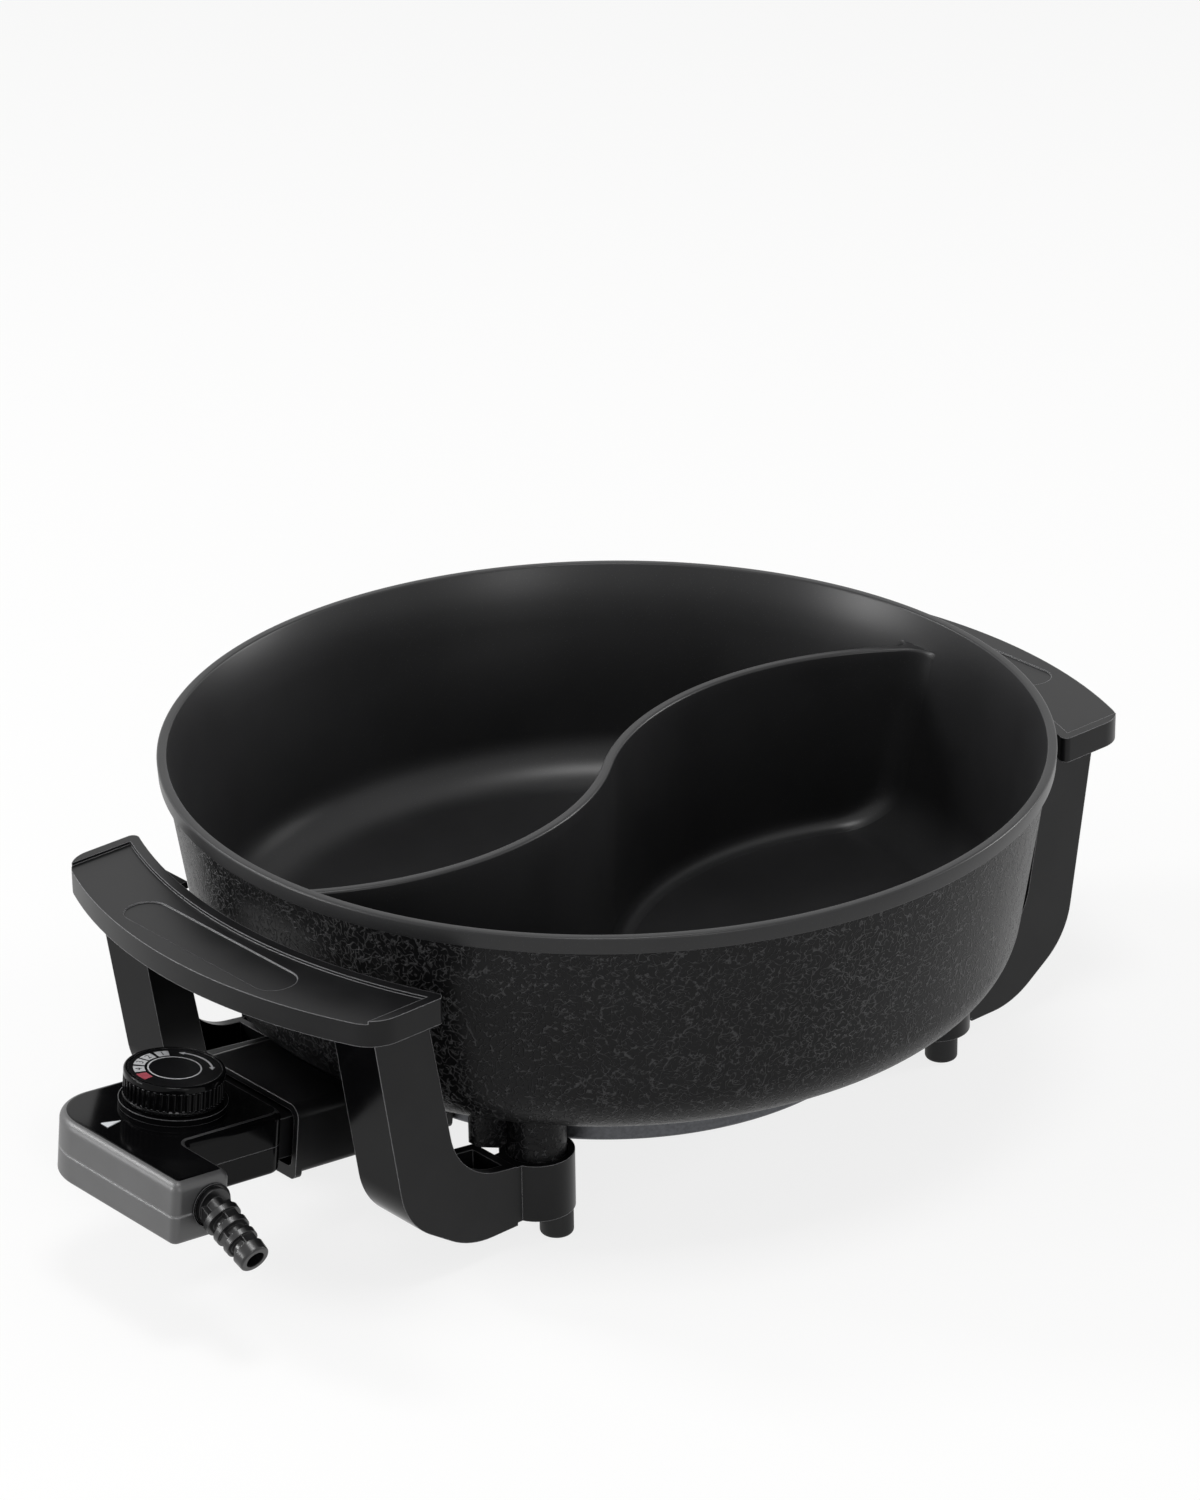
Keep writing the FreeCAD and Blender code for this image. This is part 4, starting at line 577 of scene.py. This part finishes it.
def dividerRows():
    # from the axis out to the wall, then the same half turned by 180 degrees
    p, s = pan, dividerSteps
    bend = p["dividerBend"]
    cx = p["dividerSpan"] / 2
    cy = -math.sqrt(bend * bend - cx * cx)
    heading = math.atan2(cy, cx)
    top = p["rimHeight"] - p["dividerDrop"]
    end = next(p2.x + (p1.x - p2.x) * (top - p2.y) / (p1.y - p2.y)
               for p1, p2 in zip(insideCurve, insideCurve[1:]) if p2.y <= top <= p1.y and p1.y != p2.y)
    half = p["dividerThick"] / 2

    def spread(gap):
        # half the thickness, widened by the fillet near the wall and the floor
        d = min(max(gap, 0), p["fillet"])
        return half + p["fillet"] - math.sqrt(max(0, p["fillet"] ** 2 - (p["fillet"] - d) ** 2))

    def spot(r, w, side):
        if r < s["curl"]:
            a = heading + math.acos(min(1, r / (2 * bend)))
            x, y = r * math.cos(a), r * math.sin(a)
            nx, ny = (x - cx) / bend, (y - cy) / bend
            return x + nx * w * side, y + ny * w * side
        far = bend + w * side
        a = heading + math.acos((r * r + bend * bend - far * far) / (2 * r * bend))
        return r * math.cos(a), r * math.sin(a)

    rows = []
    for r in dividerRadii(end):
        low = min(innerHeight(min(r, end)), top)
        rise = top - p["dividerEdge"] - low
        heights = [low + rise * (k / s["heights"]) ** s["crowding"] for k in range(s["heights"] + 1)]
        if heights[-1] < low:
            heights = [low] * len(heights)
        sides = []
        for side in (1, -1):
            line = [(spot(r, spread(0), side), low - s["sink"])]
            for z in heights:
                line.append((spot(r, spread(signedGap(insideCurve, r, z)), side), z))
            for k in range(1, s["edge"] + 1):
                turn = math.pi / 2 * k / s["edge"]
                z = max(low, top - p["dividerEdge"] * (1 - math.sin(turn)))
                w = spread(signedGap(insideCurve, r, z)) - p["dividerEdge"] * (1 - math.cos(turn))
                line.append((spot(r, w, side), z))
            sides.append(line)
        rows.append(sides)
    turned = [[[((-x, -y), z) for (x, y), z in line] for line in (right, left)]
              for left, right in reversed(rows[1:])]
    return turned + rows


def dividerMesh():
    work = bmesh.new()
    loops = [[work.verts.new((x * mm, y * mm, z * mm)) for (x, y), z in left + right[::-1]]
             for left, right in dividerRows()]
    count = len(loops[0])
    for a, b in zip(loops, loops[1:]):
        for k in range(count):
            n = (k + 1) % count
            work.faces.new((a[k], a[n], b[n], b[k]))
    work.faces.new(loops[0])
    work.faces.new(loops[-1][::-1])
    bmesh.ops.remove_doubles(work, verts=work.verts, dist=skin["mergeDistance"])
    return finishedMesh(work, "divider")


def underPan(face):
    centre = face.calc_center_median() / mm
    r = math.hypot(centre.x, centre.y)
    return signedGap(outsideCurve, r, centre.z) > pan["castingGap"] and centre.z < pan["castingTop"]


def addPan():
    shell = lathe("pan_shell", panLine, pan["around"])
    smoothExcept(shell, pan["shellSmooth"])
    addPiece("pan_shell", shell, ["wrinkleCoatedAluminium", "nonStickCoating", "nonStickCoating"],
             "pot", ["pot_body"])
    divider = dividerMesh()
    smoothExcept(divider, pan["dividerSmooth"])
    addPiece("pan_divider", divider, ["nonStickCoating"], "pot", ["pot_body"])
    castings = cleanCopy("pot_body", "pan_castings", underPan)
    addPiece("pan_castings", castings, ["wrinkleCoatedAluminium"], "pot", ["pot_body"])


addPan()
print("pan made")


knob = dict(radius=18.5, edge=0.8, plateRadius=16.7, plateGap=0.3, recess=0.9, fineEdge=0.2,
            grooveRadius=17.8, bandDrop=2.5, bandEdge=0.25, upperSlope=0.7, lowerSlope=0.5,
            ribBottom=10.2, flange=0.6, flangeStep=0.8, skirt=11.7, skirtInset=0.8,
            cavity=15.5, roof=0.8, hub=6.0, spindle=3.0, spindleRoof=0.3, around=192, smooth=30,
            ribs=48, ribRadius=0.72, ribSides=12, ribGapBelow=0.2, ribGapAbove=0.1, ribSmooth=40)


def knobLine():
    k = knob
    outer, groove, plate = k["radius"], k["grooveRadius"], k["plateRadius"] + k["plateGap"]
    skirtRadius, skirt = outer - k["skirtInset"], -k["skirt"]
    high, low = -k["bandDrop"], -k["ribBottom"]
    roof, spindleRoof = high - k["roof"], high - k["spindleRoof"]
    return roundedLine([
        (0, -k["recess"], 0, 0), (plate, -k["recess"], 0, 0), (plate, 0, k["fineEdge"], 0),
        (outer, 0, k["edge"], 0), (outer, high, k["bandEdge"], 0),
        (groove, high - k["upperSlope"], 0, 0), (groove, low + k["lowerSlope"], 0, 0),
        (outer, low, k["bandEdge"], 0), (outer, low - k["flange"], k["bandEdge"], 0),
        (skirtRadius, low - k["flangeStep"], 0, 0), (skirtRadius, skirt, k["fineEdge"], 0),
        (k["cavity"], skirt, 0, 0), (k["cavity"], roof, 0, 0), (k["hub"], roof, 0, 0),
        (k["hub"], skirt, 0, 0), (k["spindle"], skirt, 0, 0), (k["spindle"], spindleRoof, 0, 0),
        (0, spindleRoof, 0, 0)])


def addSockets(tree, sockets):
    # adds the inputs, given by name and kind, and returns their identifiers by name
    tree.interface.new_socket("Geometry", in_out="OUTPUT", socket_type="NodeSocketGeometry")
    tree.interface.new_socket("Geometry", in_out="INPUT", socket_type="NodeSocketGeometry")
    return {name: tree.interface.new_socket(name, in_out="INPUT", socket_type="NodeSocket" + kind).identifier
            for name, kind in sockets.items()}


def finishTree(tree, geometry, material):
    # real mesh with its material, because instances are dropped on export
    real = addNode(tree, "GeometryNodeRealizeInstances", {"Geometry": geometry})
    smooth = addNode(tree, "GeometryNodeSetShadeSmooth", {"Geometry": real.outputs[0]})
    painted = addNode(tree, "GeometryNodeSetMaterial", {"Geometry": smooth.outputs[0], "Material": material})
    addNode(tree, "NodeGroupOutput", {0: painted.outputs[0]})


def grown(name, tree, names, values, start=None):
    # runs a tree on a start mesh and gives back the plain mesh
    item = placed(name, start or bpy.data.meshes.new(name + "Start"))
    modifier = item.modifiers.new(name, "NODES")
    modifier.node_group = tree
    for key, value in values.items():
        modifier[names[key]] = value
    mesh = evaluated(item)
    bpy.data.objects.remove(item)
    return mesh


def ribTree():
    # upright round bars at even steps round a circle
    tree = bpy.data.node_groups.new("ribsRoundARim", "GeometryNodeTree")
    names = addSockets(tree, {"Count": "Int", "Rim Radius": "Float", "Rib Radius": "Float",
                              "Height": "Float", "Level": "Float", "Material": "Material"})
    given = addNode(tree, "NodeGroupInput").outputs
    rim = addNode(tree, "GeometryNodeMeshCircle", {"Vertices": given["Count"], "Radius": given["Rim Radius"]})
    bar = addNode(tree, "GeometryNodeMeshCylinder", {
        "Vertices": knob["ribSides"], "Radius": given["Rib Radius"], "Depth": given["Height"]})
    along = addNode(tree, "ShaderNodeCombineXYZ", {"Z": given["Level"]})
    raised = addNode(tree, "GeometryNodeSetPosition", {
        "Geometry": rim.outputs[0], "Offset": along.outputs[0]})
    bars = addNode(tree, "GeometryNodeInstanceOnPoints", {
        "Points": raised.outputs[0], "Instance": bar.outputs["Mesh"]})
    finishTree(tree, bars.outputs[0], given["Material"])
    return tree, names


def addKnob():
    k = knob
    body = lathe("knob_body", knobLine(), k["around"])
    body.transform(toThermostat)
    smoothExcept(body, k["smooth"])
    addPiece("knob_body", body, ["polishedMoulding"], "knob", ["knob"])
    tree, names = ribTree()
    low, high = -k["ribBottom"] + k["ribGapBelow"], -k["bandDrop"] - k["ribGapAbove"]
    ribs = grown("knob_ribs", tree, names, {
        "Count": k["ribs"], "Rim Radius": (k["radius"] - k["ribRadius"]) * mm,
        "Rib Radius": k["ribRadius"] * mm, "Height": (high - low) * mm,
        "Level": (low + high) / 2 * mm, "Material": finishes["polishedMoulding"]})
    ribs.transform(toThermostat)
    smoothExcept(ribs, k["ribSmooth"])
    addPiece("knob_ribs", ribs, ["polishedMoulding"], "knob", ["knob"])


addKnob()
print("knob made:", knob["ribs"], "ribs")


dial = dict(level=-0.3, thick=0.04, ringRadius=9.6, ringWidth=0.55, ringSteps=96,
            tileInner=10.9, tileOuter=15.0, tileSpan=21.0, tileSteps=8,
            tiles={"4": 151.0, "3": 124.5, "2": 99.5, "1": 72.4}, redTile=178.0, redShift=0.3,
            digitSize=3.9, arrowRadius=13.6, arrowWidth=0.75, arrowFrom=-31.0, arrowTo=37.0,
            arrowSteps=32, headSpan=9.0, headWidth=2.2)


def arcSolid(work, inner, outer, first, last, low, high, steps, closed=False):
    # a flat bar along an arc, with square section
    rings = []
    for k in range(steps if closed else steps + 1):
        a = math.radians(first + (last - first) * k / steps)
        c, s = math.cos(a), math.sin(a)
        rings.append([work.verts.new((r * c * mm, r * s * mm, h * mm))
                      for r, h in ((inner, low), (outer, low), (outer, high), (inner, high))])
    following = rings[1:] + ([rings[0]] if closed else [])
    for here, there in zip(rings, following):
        for k in range(4):
            n = (k + 1) % 4
            work.faces.new((here[k], here[n], there[n], there[k]))
    if not closed:
        work.faces.new(rings[0][::-1])
        work.faces.new(rings[-1])


def prism(work, corners, low, high):
    bottom = [work.verts.new((x * mm, y * mm, low * mm)) for x, y in corners]
    top = [work.verts.new((x * mm, y * mm, high * mm)) for x, y in corners]
    work.faces.new(bottom[::-1])
    work.faces.new(top)
    for k in range(len(corners)):
        n = (k + 1) % len(corners)
        work.faces.new((bottom[k], bottom[n], top[n], top[k]))


def onCircle(radius, degrees):
    return radius * math.cos(math.radians(degrees)), radius * math.sin(math.radians(degrees))


def digitMesh(text):
    curve = bpy.data.curves.new("digit", "FONT")
    curve.body = text
    curve.size = dial["digitSize"] * mm
    curve.align_x = "CENTER"
    curve.align_y = "CENTER"
    curve.extrude = dial["thick"] / 2 * mm
    item = placed("digit", curve)
    mesh = evaluated(item)
    bpy.data.objects.remove(item)
    return mesh


def addDialPrint():
    d = dial
    low, high = d["level"], d["level"] + d["thick"]
    inner, outer, half = d["tileInner"], d["tileOuter"], d["tileSpan"] / 2
    pale, digits, red = bmesh.new(), bmesh.new(), bmesh.new()
    arcSolid(pale, d["ringRadius"] - d["ringWidth"] / 2, d["ringRadius"] + d["ringWidth"] / 2,
             0, 360, low, high, d["ringSteps"], closed=True)
    for text, angle in d["tiles"].items():
        arcSolid(pale, inner, outer, angle - half, angle + half, low, high, d["tileSteps"])
        x, y = onCircle((inner + outer) / 2, angle)
        sign = digitMesh(text)
        sign.transform(Matrix.Translation((x * mm, y * mm, high * mm))
                       @ Matrix.Rotation(math.radians(angle - 90), 4, "Z"))
        digits.from_mesh(sign)
    arcSolid(pale, d["arrowRadius"] - d["arrowWidth"] / 2, d["arrowRadius"] + d["arrowWidth"] / 2,
             d["arrowFrom"], d["arrowTo"], low, high, d["arrowSteps"])
    for end, side in ((d["arrowFrom"], -1), (d["arrowTo"], 1)):
        prism(pale, [onCircle(d["arrowRadius"] - d["headWidth"] / 2, end),
                     onCircle(d["arrowRadius"] + d["headWidth"] / 2, end),
                     onCircle(d["arrowRadius"], end + side * d["headSpan"])], low, high)
    arcSolid(red, inner + d["redShift"], outer + d["redShift"], d["redTile"] - half, d["redTile"] + half,
             low, high, d["tileSteps"])
    for name, work, ink in (("dial_scale", pale, "paleInk"), ("dial_red_tile", red, "redInk"),
                            ("dial_digits", digits, "lacqueredDial")):
        addPiece(name, finishedMesh(work, name, toThermostat), [ink], "knob")


addDialPrint()
print("dial printed")


collar = dict(across=-25.0, wall=-55.0, level=-26.0, inner=7.4, outer=8.3, height=0.7, sink=0.1,
              around=64, smooth=40)


def addCollar():
    # the raised rim round the strain relief's neck
    c = collar
    work = bmesh.new()
    arcSolid(work, c["inner"], c["outer"], 0, 360, -c["sink"], c["height"], c["around"], closed=True)
    place = (toThermostat @ Matrix.Translation((c["across"] * mm, c["wall"] * mm, c["level"] * mm))
             @ Matrix.Rotation(math.radians(90), 4, "X"))
    ring = finishedMesh(work, "relief_collar", place)
    smoothExcept(ring, c["smooth"])
    addPiece("relief_collar", ring, ["polishedMoulding"], "controller")


addCollar()
print("collar made")


screwKinds = {
    "cover_screws": dict(body="pot", spots=[(-55, 0), (27.5, 47.63), (27.5, -47.63)], seat=26.2,
                         shank=1.7, head=3.2, headDepth=2.2, length=10.0),
    "handle_screws": dict(body="pot", spots=[(99.6, 81.5), (99.6, -81.5), (-99.6, 81.5), (-99.6, -81.5)],
                          seat=5.5, shank=2.0, head=3.0, headDepth=2.2, length=26.5),
    "shroud_screws": dict(body="pot", spots=[(-122, 38), (-122, -38)], seat=41.0,
                          shank=1.7, head=3.2, headDepth=2.2, length=8.7),
    "housing_screws": dict(body="controller", spots=[(14, 22.4), (14, -22.4), (-35.8, 0), (-35.8, -32)],
                           seat=-36.0, shank=1.2, head=2.2, headDepth=2.2, length=16.5),
    "clamp_screws": dict(body="controller", spots=[(-33.95, -43), (-23.55, -43)], seat=-28.0,
                         shank=1.2, head=2.2, headDepth=1.1, length=7.4, up=True),
}
# shares of the head's radius and depth, but for edge and seatEdge, which are in millimetres
screwHead = dict(faceRadius=0.62, edge=0.8, paintedHighlightShare=0.45, seatEdge=0.1, around=24,
                 crossArm=0.5, crossHalf=0.13, floorTaper=0.6, floorLevel=0.35, smooth=35,
                 fullTurn=6.28, seed=7)


def screwBlank(kind):
    # a pan-head screw hanging below its seat, with a cross recess in the head
    s = screwHead
    head, depth, shank = kind["head"], kind["headDepth"], kind["shank"]
    edge = min(s["edge"], depth * s["paintedHighlightShare"])
    corners = [(head * s["faceRadius"], -depth, 0, 0), (head, -depth, edge, 0),
               (head, 0, s["seatEdge"], 0), (shank, 0, 0, 0),
               (shank, kind["length"] - shank, 0, 0), (0, kind["length"], 0, 0)]
    work = bmesh.new()
    face = spunRings(work, roundedLine(corners), s["around"])[0]
    arm, half = head * s["crossArm"], head * s["crossHalf"]
    cross = [(arm, -half), (arm, half), (half, half), (half, arm), (-half, arm), (-half, half),
             (-arm, half), (-arm, -half), (-half, -half), (-half, -arm), (half, -arm), (half, -half)]
    rim = [work.verts.new((x * mm, y * mm, -depth * mm)) for x, y in cross]
    taper, level = s["floorTaper"], -depth * s["floorLevel"]
    floor = [work.verts.new((x * taper * mm, y * taper * mm, level * mm)) for x, y in cross]
    for k in range(len(cross)):
        n = (k + 1) % len(cross)
        work.faces.new((rim[k], rim[n], floor[n], floor[k]))
    work.faces.new(floor)
    edges = [work.edges.get((loop[k], loop[(k + 1) % len(loop)]))
             for loop in (rim, face) for k in range(len(loop))]
    bmesh.ops.triangle_fill(work, use_beauty=True, edges=edges)
    return finishedMesh(work, "screwBlank")


def screwTree():
    # one screw on each point, each turned by its own seeded angle
    tree = bpy.data.node_groups.new("screwsOnSeats", "GeometryNodeTree")
    names = addSockets(tree, {"Screw": "Object", "Seed": "Int", "Material": "Material"})
    given = addNode(tree, "NodeGroupInput").outputs
    blank = addNode(tree, "GeometryNodeObjectInfo", {"As Instance": False, "Object": given["Screw"]})
    angle = addNode(tree, "FunctionNodeRandomValue", {
        0: (0, 0, 0), 1: (0, 0, screwHead["fullTurn"]), "Seed": given["Seed"]}, data_type="FLOAT_VECTOR")
    driven = addNode(tree, "GeometryNodeInstanceOnPoints", {
        "Points": given["Geometry"], "Instance": blank.outputs["Geometry"], "Rotation": angle.outputs[0]})
    finishTree(tree, driven.outputs[0], given["Material"])
    return tree, names


def addScrews():
    tree, names = screwTree()
    for node, kind in screwKinds.items():
        blank = placed("screwBlank", screwBlank(kind))
        seats = bpy.data.meshes.new(node)
        seats.from_pydata([(x * mm, y * mm, 0) for x, y in kind["spots"]], [], [])
        values = {"Screw": blank, "Seed": screwHead["seed"], "Material": finishes["zincPlatedSteel"]}
        mesh = grown(node, tree, names, values, seats)
        bpy.data.objects.remove(blank)
        if kind.get("up"):
            # head up: mirrored in its seat, so the spots stay where they are
            mesh.transform(Matrix.Scale(-1, 4, (0, 0, 1)))
            mesh.flip_normals()
        mesh.transform(Matrix.Translation((0, 0, kind["seat"] * mm)))
        if kind["body"] == "controller":
            mesh.transform(toThermostat)
        smoothExcept(mesh, screwHead["smooth"])
        addPiece(node + "_set", mesh, ["zincPlatedSteel"], kind["body"], [node])


addScrews()
print("screws driven:", sum(len(kind["spots"]) for kind in screwKinds.values()))


def aimed(spot, target):
    # stands at spot and looks at target along its own -z
    view = Vector(target) - Vector(spot)
    return Matrix.Translation(spot) @ view.to_track_quat("-Z", "Y").to_matrix().to_4x4()


cameraSpot = dict(lens=132.14, sensor=36.0, clipEnd=50.0, roll=-0.80,
                  place=(-1.2505, -1.4171, 1.0149), target=(0.0172, 0.0235, 0.1224))


def addCamera():
    c = cameraSpot
    data = bpy.data.cameras.new("camera")
    data.lens = c["lens"]
    data.sensor_width = c["sensor"]
    data.clip_end = c["clipEnd"]
    camera = placed("camera", data)
    camera.matrix_world = aimed(c["place"], c["target"]) @ Matrix.Rotation(math.radians(c["roll"]), 4, "Z")
    bpy.context.scene.camera = camera


lamps = {
    "overhead": dict(place=(-0.2, -0.3, 2.2), aim=(0, 0, 0.1), size=(0.6, 0.6), power=16),
    "left": dict(place=(-1.8, 0.9, 0.45), aim=(-0.1, 0, 0.08), size=(0.5, 0.5), power=16),
    "backLeft": dict(place=(-1.0, 1.55, 1.35), aim=(0, 0, 0.1), size=(0.5, 0.5), power=18),
    "right": dict(place=(1.9, -0.8, 0.6), aim=(0, 0, 0.1), size=(0.5, 0.6), power=16),
    "front": dict(place=(-0.6, -2.0, 0.7), aim=(0, 0, 0.1), size=(0.5, 0.5), power=7),
}


def addLamps():
    for name, lamp in lamps.items():
        data = bpy.data.lights.new(name, "AREA")
        data.shape = "RECTANGLE"
        data.size, data.size_y = lamp["size"]
        data.energy = lamp["power"]
        placed(name, data).matrix_world = aimed(lamp["place"], lamp["aim"])


studio = dict(softLight=0.35, white=1.0, floorHalf=9.0, floorColour="#f4f4f3", floorGlow=0.8)


def seenDirectly(tree):
    # 1 for what the camera sees straight, in a gloss or through glass, and 0 for soft light
    path = addNode(tree, "ShaderNodeLightPath").outputs
    most = addNode(tree, "ShaderNodeMath", {0: path["Is Camera Ray"], 1: path["Is Glossy Ray"]},
                   operation="MAXIMUM")
    return addNode(tree, "ShaderNodeMath", {0: most.outputs[0], 1: path["Is Transmission Ray"]},
                   operation="MAXIMUM").outputs[0]


def addWorld():
    world = bpy.data.worlds.new("studio")
    world.use_nodes = True
    tree = world.node_tree
    tree.nodes.clear()
    soft, white = [addNode(tree, "ShaderNodeBackground", {"Color": (1, 1, 1, 1), "Strength": studio[key]})
                   for key in ("softLight", "white")]
    mixed = addNode(tree, "ShaderNodeMixShader", {
        0: seenDirectly(tree), 1: soft.outputs[0], 2: white.outputs[0]})
    addNode(tree, "ShaderNodeOutputWorld", {"Surface": mixed.outputs[0]})
    bpy.context.scene.world = world


def addFloor():
    mesh = bpy.data.meshes.new("floor")
    s = studio["floorHalf"]
    mesh.from_pydata([(-s, -s, 0), (s, -s, 0), (s, s, 0), (-s, s, 0)], [], [(0, 1, 2, 3)])
    floor = placed("floor", mesh)
    # matt pale paint that also glows a little, so the floor is nearly as white as the background
    material, tree = startMaterial("paleFloor")
    paint = addNode(tree, "ShaderNodeBsdfDiffuse", {"Color": linearColour(studio["floorColour"])})
    glow = addNode(tree, "ShaderNodeEmission", {"Color": (1, 1, 1, 1), "Strength": studio["white"]})
    share = addNode(tree, "ShaderNodeMath", {0: seenDirectly(tree), 1: studio["floorGlow"]},
                    operation="MULTIPLY")
    mixed = addNode(tree, "ShaderNodeMixShader", {
        0: share.outputs[0], 1: paint.outputs[0], 2: glow.outputs[0]})
    addNode(tree, "ShaderNodeOutputMaterial", {"Surface": mixed.outputs[0]})
    mesh.materials.append(material)


addCamera()
addLamps()
addWorld()
addFloor()
bpy.context.scene.view_settings.view_transform = "Standard"
print("stage set")

bpy.context.view_layer.update()
